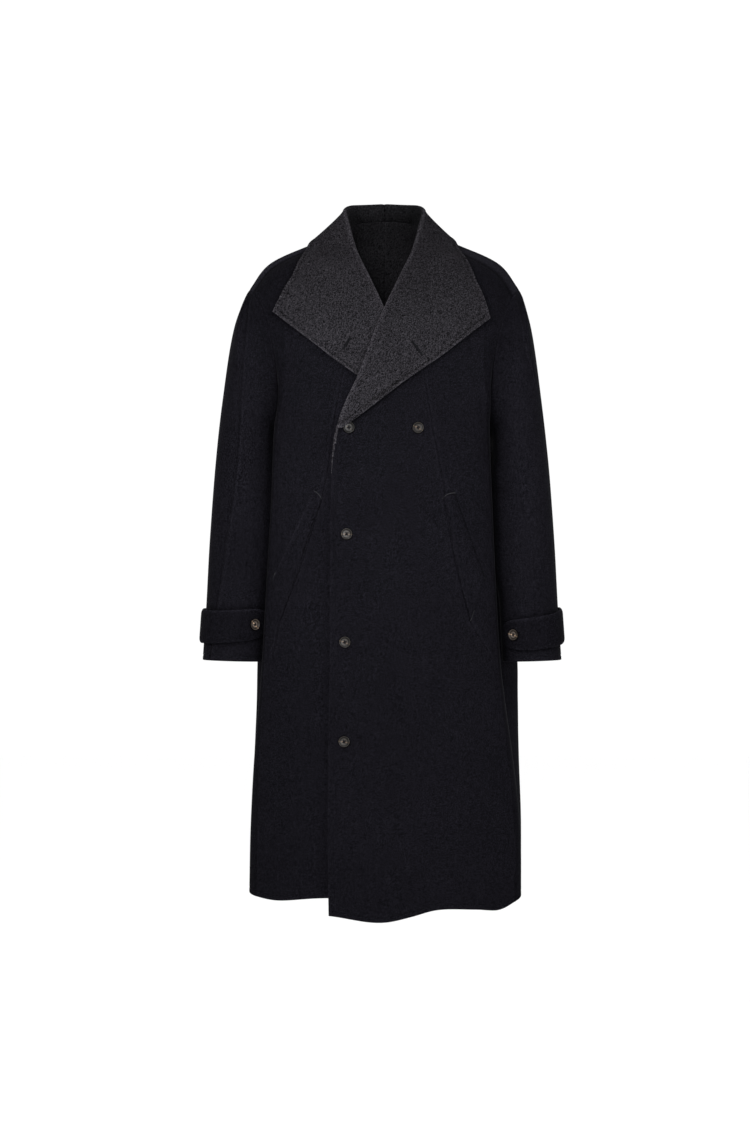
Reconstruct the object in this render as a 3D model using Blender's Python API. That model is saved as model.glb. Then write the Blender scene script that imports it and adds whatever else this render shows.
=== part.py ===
"""A long double-breasted wool coat, worn hollow: each sewn piece is a closed wall of cloth in its worn shape.

Sizes are in millimetres and are turned into metres when a mesh is made. The coat faces -Y, +Z is up, and the
wearer's left is +X. Each piece is worked out for the left side and mirrored where it belongs on the right.
"""

from collections import namedtuple

import bpy
import numpy as np
from mathutils import Vector
from mathutils.bvhtree import BVHTree

MM = 0.001
LEFT, RIGHT = 1, -1
SIDE_NAMES = {LEFT: "left", RIGHT: "right"}

CLOTH = 2.5  # wall of the double-faced wool
SEAM_CELL = 0.37  # panels whose points fall in the same cell of this size are sewn there
HALF_GAP = 0.2  # each piece ends this far from its seam
LAP = 10.0  # the under front lies this far behind the over front
LAP_FADE_X = (100.0, 155.0)  # the lap offset fades out between these distances from the centre
LAP_FADE_Z = (-90.0, -10.0)  # and between these levels, above which the fronts part

# Levels of the body from the hem to the armhole. The edge is the front edge beyond the centre, the ridge
# is the front's upright fold beside the sleeve, the side is the side seam in the hollow behind it, and the
# flare is the widest fold of the back.
Level = namedtuple(
    "Level",
    "z edge_x ridge_left ridge_right ridge_y side_x side_y flare_left flare_right flare_y front_y back_y",
)
BODY = [
    Level(-1100, -95, 223, 219, -74, 230, 0, 233, 225, 74, -152, 150),
    Level(-980, -97, 222, 217, -78, 227, 0, 234, 225, 80, -150, 149),
    Level(-860, -96, 211, 214, -86, 214, 0, 233, 223, 88, -148, 148),
    Level(-760, -95, 200, 209, -91, 194, 0, 234, 222, 95, -146, 147),
    Level(-680, -93, 193, 205, -93, 178, 2, 234, 222, 99, -145, 146),
    Level(-560, -93, 187, 199, -93, 168, 6, 224, 217, 101, -143, 144),
    Level(-420, -92, 181, 191, -91, 164, 6, 206, 205, 104, -142, 142),
    Level(-290, -83, 174, 184, -88, 174, 4, 192, 192, 106, -142, 140),
]
LOWEST = len(BODY) - 1  # place of the armhole's lowest point
RIDGE = 2  # place of the ridge across a front
NEAR = np.array((-0.02, 0.0, 0.02))  # places round a point from which its normal is found
SEARCH_CUTS = 49  # places across a front at which a point is looked for
FRONT_MIDDLE_X = 70.0
FRONT_EDGE_BOW = 4.0  # the front falls back this far at its edge
BACK_COLUMNS = (0.55, 0.3, 0.14)  # places of the back's inner columns, as shares of the flare
BACK_BOW = (6.0, 2.0, 0.5)  # and how far each lies in front of the centre back

# Sections of the front above the armhole's lowest point, from the neck edge over the chest to the armhole.
Chest = namedtuple("Chest", "neck middle ridge armhole")
CHEST = [
    Chest((-39, -140, -194), (70, -139, -222), (173, -94, -238), (181, -60, -240)),
    Chest((-4, -125, -104), (88, -122, -130), (168, -97, -158), (190, -76, -162)),
    Chest((26, -90, -40), (105, -98, -56), (172, -84, -84), (205, -60, -97)),
    Chest((51, -46, 9), (117, -60, 2), (184, -48, -26), (222, -32, -57)),
    Chest((72, 12, 58), (130, 10, 36), (200, 8, 3), (236, 4, -43)),
]

# The same sections of the back, from the armhole over the shoulder blade to the centre back.
Yoke = namedtuple("Yoke", "armhole blade middle neck near_centre centre")
YOKE = [
    Yoke((190, 64, -245), (181, 108, -242), (112, 133, -236), (62, 137, -231), (30, 138, -228),
         (0, 139, -226)),
    Yoke((206, 82, -165), (176, 112, -158), (108, 130, -146), (62, 134, -138), (31, 135, -134),
         (0, 136, -132)),
    Yoke((221, 66, -97), (182, 92, -82), (112, 111, -58), (66, 117, -47), (33, 120, -41), (0, 121, -38)),
    Yoke((231, 36, -57), (192, 52, -22), (120, 70, 8), (70, 82, 24), (36, 96, 33), (0, 103, 37)),
    Yoke((236, 4, -43), (200, 8, 3), (130, 10, 36), (72, 12, 58), (45, 58, 77), (0, 78, 83)),
]

# How far the hem lies above the lowest level, by place across a panel in columns.
HEM_RISE = {
    "front_left": (
        (0.0, -18), (0.6, -28), (0.85, -19), (1.1, -9), (1.5, -10),
        (1.75, -13), (2.0, -2), (2.5, 12), (3.0, 30),
    ),
    "front_right": ((0.0, 17), (1.0, 12), (1.35, 9), (1.7, 4), (2.0, 8), (3.0, 24)),
    "back_left": ((0.0, 30), (1.0, 36), (2.0, 24), (5.0, 18)),
    "back_right": ((0.0, 24), (1.0, 30), (2.0, 20), (5.0, 18)),
}
HEM_REACH = 2.0  # levels over which that fades out

# Rings of the sleeve from the armhole to the cuff: each runs through an outer and an inner point. The seam
# columns are the turn of the overarm seam towards the front, in degrees.
Ring = namedtuple("Ring", "outer_x outer_z inner_x inner_z half_depth centre_y sway seam_left seam_right")
SLEEVE = [
    Ring(236, -43, 174, -290, 80, 4, 0, 0, 0),
    Ring(259, -112, 186, -303, 79, 1, -3, 40, 46),
    Ring(277, -235, 189, -340, 77, -3, -4, 26, 70),
    Ring(289, -345, 191, -405, 74, -7, -4, 6, 74),
    Ring(299, -480, 194, -505, 70, -12, -4, 0, 64),
    Ring(305, -595, 200, -605, 66, -16, -4, 0, 52),
    Ring(311, -686, 204, -689, 62, -18, -4, 0, 42),
]
ARMHOLE_FADE = 1.6  # rings over which the armhole's own shape turns into the rings' ovals

# The turned collar and lapel at six places up the front edge and two round the back neck: how far the roll
# stands from the seam, the outer edge on each side, the gap under the cloth at the roll and at the edge,
# and the length over which the cloth bends away from the roll.
Fall = namedtuple("Fall", "stand edge_left edge_right gap_left gap_right gap_edge bend")
COLLAR = [
    Fall((-3, -1, 1), (182, -103, -99), (192, -103, -88), 5.6, 2.4, 6.0, 6),
    Fall((-3, 0, 1), (175, -97, -75), (182, -97, -67), 4.6, 2.4, 5.0, 8),
    Fall((-4, 1, 3), (166, -86, -49), (171, -86, -44), 3.8, 2.6, 4.5, 10),
    Fall((-5, 2, 4), (153, -69, -22), (157, -69, -20), 3.6, 3.2, 4.0, 12),
    Fall((-5, 2, 10), (136, -42, 11), (142, -42, 9), 3.8, 3.8, 4.0, 12),
    Fall((-5, 2, 39), (119, 6, 46), (125, 6, 43), 4.0, 4.0, 4.0, 6),
    Fall((2, 4, 29), (84, 88, 32), (84, 88, 32), 4.0, 4.0, 4.0, 8),
    Fall((0, 2, 27), (0, 118, 18), (0, 118, 18), 4.0, 4.0, 4.0, 10),
]

NECK_LIFT = 0.9  # the stand starts this far above the neck seam

# The strap round each cuff, by angle from the overarm line towards the front: its edges and how far it
# stands off.
Strap = namedtuple("Strap", "angle top_left low_left top_right low_right off")
STRAP = [
    Strap(-105, -598, -655, -599, -656, 1.5),
    Strap(-40, -596, -655, -597, -656, 4.2),
    Strap(0, -596, -657, -597, -657, 5.4),
    Strap(50, -606, -664, -600, -657, 4.2),
    Strap(100, -613, -669, -598, -654, 2.2),
    Strap(152, -618, -666, -595, -647, 1.5),
]
STRAP_END = 22.0  # degrees over which the buttoned end is rounded
STRAP_BUTTON_ANGLE = 122.0

# Corners of each pocket welt on the front, as x and z, and the inward bow of its sewn edge.
Welt = namedtuple("Welt", "top_inner top_outer low_outer low_inner")
WELTS = {
    LEFT: Welt((99.7, -406), (120.2, -401), (171.0, -542), (146.5, -617)),
    RIGHT: Welt((107.7, -409), (120.4, -395), (190.5, -546), (179.0, -617)),
}
WELT_BOW = 5.0
WELT_OFF = 0.5

BUTTON_PROFILE = (
    (0.0, 0.0), (9.6, 0.0), (10.6, 0.9), (10.6, 2.5), (9.7, 3.6), (8.5, 3.6), (7.3, 2.5), (0.0, 2.3),
)
BUTTON_SIDES = 18
BUTTON_OFF = 0.5
FRONT_BUTTONS = {
    "button_lap_1": (-60.3, -288.0),
    "button_lap_2": (-64.2, -469.0),
    "button_lap_3": (-67.1, -653.0),
    "button_lap_4": (-68.3, -822.0),
    "button_chest": (56.8, -288.5),
}

# How finely each interval between two columns or two levels is cut.
FRONT_CUTS = (4, 4, 3)
BACK_CUTS = (3, 4, 4, 2, 2)
LEVEL_CUTS = (2, 2, 2, 2, 2, 2, 2, 2, 2, 2, 2, 2)
SLEEVE_CUTS = (3, 2, 2, 2, 2, 2)
ROLL_TURNS = 5
FALL_CUTS = 8
STRAP_CUTS = (14, 3)
WELT_CUTS = (7, 3)

MATERIALS = {
    "wool_black": ((0.0092, 0.0088, 0.0115, 1.0), 0.95),
    "wool_grey": ((0.03, 0.0285, 0.031, 1.0), 0.95),
    "button_horn": ((0.014, 0.010, 0.008, 1.0), 0.35),
}


def unit(vectors):
    """The same vectors at length one."""
    return vectors / np.linalg.norm(vectors, axis=-1, keepdims=True)


def smooth(low, high, values):
    """Zero below low, one above high, and a smooth step between."""
    t = np.clip((np.asarray(values, float) - low) / (high - low), 0, 1)
    return t * t * (3 - 2 * t)


def spline(controls, at):
    """Points on a smooth curve through the controls, which lie at whole numbers."""
    controls = np.asarray(controls, float)
    slopes = np.gradient(controls, axis=0)
    at = np.clip(np.asarray(at, float), 0, len(controls) - 1)
    low = np.minimum(at.astype(int), len(controls) - 2)
    t = (at - low).reshape((-1,) + (1,) * (controls.ndim - 1))
    start = (1 + 2 * t) * (1 - t) ** 2 * controls[low] + t * (1 - t) ** 2 * slopes[low]
    end = t * t * (3 - 2 * t) * controls[low + 1] + t * t * (t - 1) * slopes[low + 1]
    return start + end


def surface(net, down, across):
    """A grid of points on the smooth surface through a net of controls."""
    rows = spline(net, down)
    return spline(rows.swapaxes(0, 1), across).swapaxes(0, 1)


def places(cuts):
    """Places along a spline that cut each of its intervals into the given number."""
    inner = [i + np.arange(n) / n for i, n in enumerate(cuts)]
    return np.concatenate(inner + [[len(cuts)]])


def normals_of(grid):
    """Unit normals of a grid whose rows and columns turn outwards on the left side."""
    across = np.gradient(grid, axis=1)
    along = np.gradient(grid, axis=0)
    return unit(np.cross(across, along))


def column(table, name):
    """One named column of a table."""
    return np.array([getattr(row, name) for row in table], float)


def rise_of_hem(name, across, down):
    """How far the hem's own line lifts each point of a panel."""
    at, rise = np.array(HEM_RISE[name], float).T
    fade = np.clip(1 - down / HEM_REACH, 0, 1)
    return np.outer(fade, np.interp(across, at, rise))


def front_grid(side, down, across):
    """The front from its edge or roll line to the side seam or armhole."""
    levels = [
        (
            (row.edge_x, row.front_y + FRONT_EDGE_BOW, row.z),
            (FRONT_MIDDLE_X, row.front_y, row.z),
            (row.ridge_left if side == LEFT else row.ridge_right, row.ridge_y, row.z),
            (row.side_x, row.side_y, row.z),
        )
        for row in BODY
    ]
    grid = surface(levels + [tuple(row) for row in CHEST], down, across)
    edge = np.where(
        (down <= LOWEST)[:, None],
        spline([row[-1] for row in levels], down),
        spline([levels[-1][-1]] + [row.armhole for row in CHEST], down - LOWEST),
    )
    grid += (edge - grid[:, -1])[:, None] * np.clip(across - RIDGE, 0, 1)[:, None]
    grid[..., 2] += rise_of_hem(f"front_{SIDE_NAMES[side]}", across, down)
    if side == RIGHT:
        grid[..., 1] += lap_at(grid[..., 0], grid[..., 2])
    return grid


def lap_at(x, z):
    """How far the under front lies behind the over front."""
    return LAP * (1 - smooth(*LAP_FADE_X, x)) * (1 - smooth(*LAP_FADE_Z, z))


def back_grid(side, down, across):
    """The back from the side seam or armhole to the centre, with its shoulder seam taken from the front."""
    levels = []
    for row in BODY:
        flare = row.flare_left if side == LEFT else row.flare_right
        inner = [(flare * share, row.back_y - bow, row.z) for share, bow in zip(BACK_COLUMNS, BACK_BOW)]
        outer = [(row.side_x, row.side_y, row.z), (flare, row.flare_y, row.z)]
        levels.append([*outer, *inner, (0, row.back_y, row.z)])
    grid = surface(levels + [tuple(row) for row in YOKE], down, across)
    edge = np.where(
        (down <= LOWEST)[:, None],
        spline([row[0] for row in levels], down),
        spline([levels[-1][0]] + [row.armhole for row in YOKE], down - LOWEST),
    )
    grid += (edge - grid[:, 0])[:, None] * np.clip(1 - across, 0, 1)[:, None]
    grid[..., 2] += rise_of_hem(f"back_{SIDE_NAMES[side]}", across, down)
    shoulder = across <= 3
    seam = spline(CHEST[-1][::-1], across[shoulder])
    grid[-1, shoulder] = seam
    return grid


def ring_centre(ring):
    """The middle of a ring of the sleeve."""
    return np.array(((ring.outer_x + ring.inner_x) / 2, ring.centre_y, (ring.outer_z + ring.inner_z) / 2))


def sleeve_grid(side, half, armhole, down):
    """One half of a sleeve, whose first row is the armhole's points from the shoulder to the underarm."""
    rings = np.array(SLEEVE, float)
    first = SLEEVE[0]
    middle = ring_centre(first)
    reach = np.array((first.outer_x - first.inner_x, 0, first.outer_z - first.inner_z)) / 2
    along = (armhole - middle) @ reach / (reach @ reach)
    own_angle = np.arccos(np.clip(along, -1, 1))
    own_angle[0], own_angle[-1] = 0, np.pi
    share = np.linspace(0, 1, len(armhole))
    rows = []
    for place in down:
        ring = Ring(*spline(rings, [place])[0])
        seam = np.radians(ring.seam_left if side == LEFT else ring.seam_right) * half
        blend = smooth(0, len(SLEEVE) - 1, place)
        angle = seam + (np.pi - seam) * ((1 - blend) * own_angle / np.pi + blend * share)
        centre = ring_centre(ring)
        half_width = np.array((ring.outer_x - ring.inner_x, 0, ring.outer_z - ring.inner_z)) / 2
        forward = np.array((0, -ring.half_depth * half, 0))
        oval = centre + np.outer(np.cos(angle), half_width) + np.outer(np.sin(angle), forward)
        start = middle + np.outer(np.cos(own_angle), reach)
        start += np.outer(np.sin(own_angle), (0, -first.half_depth * half, 0))
        keep = 1 - smooth(0, ARMHOLE_FADE, place)
        oval += keep * (armhole - start)
        oval[:, 0] += ring.sway * side * (1 + np.cos(angle)) / 2
        rows.append(oval)
    grid = np.array(rows)
    return grid if half > 0 else grid[:, ::-1]


def sleeve_point(side, angle, z):
    """A point on the sleeve near the cuff, with the way out from it, at an angle and a level."""
    rings = np.array(SLEEVE, float)
    level = (column(SLEEVE, "outer_z") + column(SLEEVE, "inner_z")) / 2
    ring = Ring(*spline(rings, [np.interp(-z, -level, np.arange(len(level)))])[0])
    half_width = (ring.outer_x - ring.inner_x) / 2
    turn = np.radians(angle)
    out = np.array((np.cos(turn) / half_width, -np.sin(turn) / ring.half_depth, 0))
    x = ring.inner_x + half_width * (1 + np.cos(turn)) + ring.sway * side * (1 + np.cos(turn)) / 2
    return np.array((x, ring.centre_y - ring.half_depth * np.sin(turn), z)), unit(out)


def strap_grid(side):
    """The cuff strap round the sleeve, standing off it, with a rounded end."""
    table = np.array(STRAP, float)
    rows = np.linspace(0, 1, STRAP_CUTS[1] + 1)
    grid = []
    for angle in np.linspace(STRAP[0].angle, STRAP[-1].angle, STRAP_CUTS[0] + 1):
        at = np.interp(angle, column(STRAP, "angle"), np.arange(len(STRAP)))
        section = Strap(*spline(table, [at])[0])
        top, low = (
            (section.top_left, section.low_left) if side == LEFT else (section.top_right, section.low_right)
        )
        near_end = np.clip((angle - STRAP[-1].angle + STRAP_END) / STRAP_END, 0, 1)
        height = (top - low) / 2 * (1 - 0.62 * near_end**3)
        line = []
        for row in rows:
            point, out = sleeve_point(side, angle, (top + low) / 2 + height * (1 - 2 * row))
            line.append(point + out * (section.off + CLOTH))
        grid.append(line)
    return np.array(grid).swapaxes(0, 1)


def on_front(side, x, z):
    """The point of the front at x and z below the armhole, with its normal."""
    levels = column(BODY, "z")
    place = np.interp(z, levels, np.arange(len(levels)))
    down = place + NEAR
    across = np.linspace(0, RIDGE, SEARCH_CUTS)
    at = np.interp(x, front_grid(side, down, across)[1, :, 0], across)
    patch = front_grid(side, down, at + NEAR)
    return patch[1, 1], normals_of(patch)[1, 1]


def welt_grid(side):
    """The pocket welt: the front's points between four corners, moved out."""
    corners = [np.array(corner, float) for corner in WELTS[side]]
    top_inner, top_outer, low_outer, low_inner = corners
    grid = []
    for along in np.linspace(0, 1, WELT_CUTS[0] + 1):
        inner = low_inner + (top_inner - low_inner) * along
        inner[0] -= WELT_BOW * np.sin(np.pi * along)
        outer = low_outer + (top_outer - low_outer) * along
        line = []
        for across in np.linspace(0, 1, WELT_CUTS[1] + 1):
            point, out = on_front(side, *(inner + (outer - inner) * across))
            line.append(point + out * (WELT_OFF + CLOTH))
        grid.append(line)
    return np.array(grid)


def collar_grid(side, base, base_normal, station, clear_of):
    """The collar's grey face from the neck seam over the roll to its edge, and its normals at the seam."""
    table = [
        (*row.stand, *(row.edge_left if side == LEFT else row.edge_right),
         row.gap_left if side == LEFT else row.gap_right, row.gap_edge, row.bend)
        for row in COLLAR
    ]
    rows = spline(table, station)
    along = np.gradient(base, axis=0)
    along[-1, 1:] = 0
    grid, seam_normals = [], []
    for point, normal, row, step in zip(base, base_normal, rows, along):
        stand, edge, gap, gap_edge, bend = row[:3], row[3:6], row[6], row[7], row[8]
        roll = point + stand
        up = unit(stand)
        out = unit(np.cross(step, up))
        seam_normal = unit(normal + out)
        seam_normals.append(seam_normal)
        middle = roll + out * gap / 2
        radius = CLOTH + gap / 2
        line = [point + up * NECK_LIFT - seam_normal * CLOTH]
        for turn in np.linspace(0, np.pi, ROLL_TURNS):
            line.append(middle + radius * (up * np.sin(turn) - out * np.cos(turn)))
        start = line[-1]
        control = start - up * bend
        for share in np.arange(1, FALL_CUTS + 1) / FALL_CUTS:
            fall = (1 - share) ** 2 * start + 2 * share * (1 - share) * control + share**2 * edge
            line.append(pushed_out(fall, clear_of, CLOTH + gap + (gap_edge - gap) * share**3))
        grid.append(line)
    return np.array(grid), np.array(seam_normals)


def pushed_out(point, tree, least):
    """The point, moved along the nearest face's normal until it is at least that far off."""
    place, normal, _, _ = tree.find_nearest(Vector(point))
    off = (Vector(point) - place).dot(normal)
    if off < least:
        point = np.array(Vector(point) + normal * (least - off))
    return np.array(point)


def tree_of(grids):
    """A search tree over the outer faces of left-hand grids."""
    points, faces = [], []
    for grid in grids:
        start = len(points)
        points.extend(Vector(point) for point in grid.reshape(-1, 3))
        faces.extend(quads(grid.shape[:2], start))
    return BVHTree.FromPolygons(points, faces)


def quads(shape, start):
    """The faces of a grid, as point numbers, turning outwards."""
    rows, columns = shape
    number = start + np.arange(rows * columns).reshape(rows, columns)
    corners = (number[:-1, :-1], number[:-1, 1:], number[1:, 1:], number[1:, :-1])
    return np.stack(corners, axis=-1).reshape(-1, 4).tolist()


def material(name):
    """A plain material of the part."""
    colour, roughness = MATERIALS[name]
    made = bpy.data.materials.get(name) or bpy.data.materials.new(name)
    made.use_nodes = True
    shader = made.node_tree.nodes["Principled BSDF"]
    shader.inputs["Base Color"].default_value = colour
    shader.inputs["Roughness"].default_value = roughness
    shader.inputs["Metallic"].default_value = 0.0
    made.diffuse_color = colour
    return made


def add_object(name, points, faces, material_name):
    """A mesh object from points in millimetres."""
    mesh = bpy.data.meshes.new(name)
    mesh.from_pydata((np.asarray(points) * MM).tolist(), [], faces)
    mesh.materials.append(material(material_name))
    obj = bpy.data.objects.new(name, mesh)
    bpy.context.scene.collection.objects.link(obj)
    return obj


def drawn_in(grid, normals):
    """The grid with each edge moved in from its seam, square to the seam's normal."""
    moved = grid.copy()
    every = slice(None)
    rows_in = [((0, every), (1, every)), ((-1, every), (-2, every))]
    columns_in = [((every, 0), (every, 1)), ((every, -1), (every, -2))]
    for edge, inner in rows_in + columns_in:
        inwards = unit(np.cross(normals[edge], np.gradient(grid[edge], axis=0)))
        inwards *= np.sign(np.sum(inwards * (grid[inner] - grid[edge]), axis=-1, keepdims=True))
        moved[edge] += inwards * HALF_GAP
    return moved


def add_wall(name, side, grid, normals, material_name):
    """A closed wall of cloth behind a grid of outer points."""
    outer = drawn_in(grid, normals)
    inner = outer - normals * CLOTH
    rows, columns = grid.shape[:2]
    count = rows * columns
    number = np.arange(count).reshape(rows, columns)
    faces = quads(grid.shape[:2], 0)
    faces += [face[::-1] for face in quads(grid.shape[:2], count)]
    rim = np.concatenate((number[0, :-1], number[:-1, -1], number[-1, :0:-1], number[:0:-1, 0])).tolist()
    for a, b in zip(rim, rim[1:] + rim[:1]):
        faces.append([b, a, a + count, b + count])
    points = np.concatenate((outer.reshape(-1, 3), inner.reshape(-1, 3)))
    if side == RIGHT:
        points = points * (-1, 1, 1)
        faces = [face[::-1] for face in faces]
    return add_object(name, points, faces, material_name)


def add_button(name, side, point, out):
    """A turned button on a point, facing out."""
    aside = unit(np.cross(out, (0, 0, 1)))
    up = np.cross(aside, out)
    turns = np.linspace(0, 2 * np.pi, BUTTON_SIDES, endpoint=False)
    ring = np.outer(np.cos(turns), aside) + np.outer(np.sin(turns), up)
    base = point + out * BUTTON_OFF
    rings = [base + ring * radius + out * height for radius, height in BUTTON_PROFILE[1:-1]]
    points = [base, *np.concatenate(rings), base + out * BUTTON_PROFILE[-1][1]]
    top = len(points) - 1
    last = 1 + (len(rings) - 1) * BUTTON_SIDES
    faces = []
    for i in range(BUTTON_SIDES):
        after = (i + 1) % BUTTON_SIDES
        faces.append([0, 1 + i, 1 + after])
        faces.append([top, last + after, last + i])
        for k in range(len(rings) - 1):
            low, high = 1 + k * BUTTON_SIDES, 1 + (k + 1) * BUTTON_SIDES
            faces.append([low + after, low + i, high + i, high + after])
    points = np.array(points)
    if side == RIGHT:
        points = points * (-1, 1, 1)
        faces = [face[::-1] for face in faces]
    return add_object(name, points, faces, "button_horn")


def key(point):
    """A seam point's name: panels that share it are sewn there."""
    return tuple(np.floor(point / SEAM_CELL + 0.123).astype(int))


def body_panels(side):
    """The grids of one side's front, back and sleeve, sharing their seam points."""
    name = SIDE_NAMES[side]
    down = places(LEVEL_CUTS)
    front = front_grid(side, down, places(FRONT_CUTS))
    back = back_grid(side, down, places(BACK_CUTS))
    lowest = sum(LEVEL_CUTS[:LOWEST])
    sleeve_down = places(SLEEVE_CUTS)
    fore = sleeve_grid(side, 1, front[lowest:, -1][::-1], sleeve_down)
    rear = sleeve_grid(side, -1, back[lowest:, 0][::-1], sleeve_down)
    return {
        f"front_{name}": front,
        f"back_{name}": back,
        f"sleeve_front_{name}": fore,
        f"sleeve_back_{name}": rear,
    }


def sewn_normals(panels):
    """The normals of one side's panels, shared where panels meet."""
    own = {name: normals_of(grid) for name, grid in panels.items()}
    total = {}
    for name, grid in panels.items():
        for point, normal in zip(grid.reshape(-1, 3), own[name].reshape(-1, 3)):
            total[key(point)] = total.get(key(point), 0) + normal
    shared = {}
    for name, grid in panels.items():
        flat = [unit(total[key(point)]) for point in grid.reshape(-1, 3)]
        shared[name] = np.array(flat).reshape(grid.shape)
    return shared


def build_side(side):
    """Every piece of one side of the coat."""
    name = SIDE_NAMES[side]
    panels = body_panels(side)
    normals = sewn_normals(panels)
    front, back = f"front_{name}", f"back_{name}"
    lowest = sum(LEVEL_CUTS[:LOWEST])
    neck = sum(BACK_CUTS[:3])
    base = np.concatenate((panels[front][lowest:, 0], panels[back][-1, neck + 1 :]))
    base_normal = np.concatenate((normals[front][lowest:, 0], normals[back][-1, neck + 1 :]))
    station = np.concatenate((places(LEVEL_CUTS[LOWEST:]), 5 + places(BACK_CUTS[3:])[1:]))
    normals[back][:, -1, 0] = 0
    normals[back][:, -1] = unit(normals[back][:, -1])
    base_normal[-1] = normals[back][-1, -1]
    tree = tree_of((panels[front], panels[back]))
    grid, seam = collar_grid(side, base, base_normal, station, tree)
    front_rows = len(panels[front]) - lowest
    normals[front][lowest:, 0] = seam[:front_rows]
    normals[back][-1, neck:] = seam[front_rows - 1 :]
    collar_normals = normals_of(grid)
    collar_normals[:, 0] = -seam
    collar_normals[-1, :, 0] = 0
    collar_normals[-1] = unit(collar_normals[-1])
    for panel, points in panels.items():
        add_wall(panel, side, points, normals[panel], "wool_black")
    add_wall(f"collar_{name}", side, grid, collar_normals, "wool_grey")
    strap = strap_grid(side)
    add_wall(f"cuff_strap_{name}", side, strap, normals_of(strap), "wool_black")
    welt = welt_grid(side)
    add_wall(f"pocket_welt_{name}", side, welt, normals_of(welt), "wool_black")


def main():
    for obj in list(bpy.data.objects):
        bpy.data.objects.remove(obj)
    for side in (LEFT, RIGHT):
        build_side(side)
        place = np.interp(STRAP_BUTTON_ANGLE, column(STRAP, "angle"), np.arange(len(STRAP)))
        section = Strap(*spline(np.array(STRAP, float), [place])[0])
        middle = (section.top_left + section.low_left) / 2
        if side == RIGHT:
            middle = (section.top_right + section.low_right) / 2
        point, out = sleeve_point(side, STRAP_BUTTON_ANGLE, middle)
        add_button(f"button_cuff_{SIDE_NAMES[side]}", side, point + out * (section.off + CLOTH), out)
    for name, (x, z) in FRONT_BUTTONS.items():
        add_button(name, LEFT, *on_front(LEFT, x, z))


main()
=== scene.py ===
"""The looks of a long double-breasted wool coat: fine cloth on the form of its solids, with seams, edge
stitching, buttons and light.

Sizes are in millimetres and are turned into metres when a mesh is made. The coat faces -Y, +Z is up, and the
wearer's left is +X. Each piece is worked out for the left side and mirrored where it belongs on the right.
"""

from collections import namedtuple

import bpy
import numpy as np
from mathutils import Matrix, Vector
from mathutils.bvhtree import BVHTree


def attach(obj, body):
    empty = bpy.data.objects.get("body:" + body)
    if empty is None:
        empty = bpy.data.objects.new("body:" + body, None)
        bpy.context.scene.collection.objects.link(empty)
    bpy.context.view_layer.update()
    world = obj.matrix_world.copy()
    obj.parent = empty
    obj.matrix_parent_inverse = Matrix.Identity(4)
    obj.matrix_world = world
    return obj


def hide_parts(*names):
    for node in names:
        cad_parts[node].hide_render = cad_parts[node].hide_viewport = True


MM = 0.001
LEFT = 1
RIGHT = -1
SIDE_NAMES = {LEFT: "left", RIGHT: "right"}
MIRROR = (-1, 1, 1)

# A mark along a line on the cloth: its depth or change of tone, its width and its distance from the line.
Mark = namedtuple("Mark", "size width at", defaults=(0.0,))

CLOTH = 2.5  # wall of the double-faced wool
SEAM_OVERLAP = 0.06  # each panel runs this far past its seam, so that no light shows through
LAP = 10.0  # the under front lies this far behind the over front
LAP_FADE_X = (100.0, 155.0)  # the lap offset fades out between these distances from the centre
LAP_FADE_Z = (-90.0, -10.0)  # and between these levels, above which the fronts part

# Levels of the body from the hem to the armhole, as in the solids.
Level = namedtuple(
    "Level",
    "z edge_x ridge_left ridge_right ridge_y side_x side_y flare_left flare_right flare_y front_y back_y",
)
BODY = [
    Level(-1100, -95, 223, 219, -74, 230, 0, 233, 225, 74, -152, 150),
    Level(-980, -97, 222, 217, -78, 227, 0, 234, 225, 80, -150, 149),
    Level(-860, -96, 211, 214, -86, 214, 0, 233, 223, 88, -148, 148),
    Level(-760, -95, 200, 209, -91, 194, 0, 234, 222, 95, -146, 147),
    Level(-680, -93, 193, 205, -93, 178, 2, 234, 222, 99, -145, 146),
    Level(-560, -93, 187, 199, -93, 168, 6, 224, 217, 101, -143, 144),
    Level(-420, -92, 181, 191, -91, 164, 6, 206, 205, 104, -142, 142),
    Level(-290, -83, 174, 184, -88, 174, 4, 192, 192, 106, -142, 140),
]
LOWEST = len(BODY) - 1  # place of the armhole's lowest point
RIDGE = 2  # place of the ridge across a front
SIDE_SEAM = 3  # place of the side seam across a front
NECK = 3  # place of the neck point across a back
CENTRE = 5  # place of the centre across a back
FRONT_MIDDLE_X = 70.0
FRONT_EDGE_BOW = 4.0  # the front falls back this far at its edge
BACK_COLUMNS = (0.55, 0.3, 0.14)  # places of the back's inner columns, as shares of the flare
BACK_BOW = (6.0, 2.0, 0.5)  # and how far each lies in front of the centre back

# Sections of the front above the armhole's lowest point, from the neck edge over the chest to the armhole.
Chest = namedtuple("Chest", "neck middle ridge armhole")
CHEST = [
    Chest((-39, -140, -194), (70, -139, -222), (173, -94, -238), (181, -60, -240)),
    Chest((-4, -125, -104), (88, -122, -130), (168, -97, -158), (190, -76, -162)),
    Chest((26, -90, -40), (105, -98, -56), (172, -84, -84), (205, -60, -97)),
    Chest((51, -46, 9), (117, -60, 2), (184, -48, -26), (222, -32, -57)),
    Chest((72, 12, 58), (130, 10, 36), (200, 8, 3), (236, 4, -43)),
]
TOP = LOWEST + len(CHEST)  # place of the shoulder seam

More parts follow.
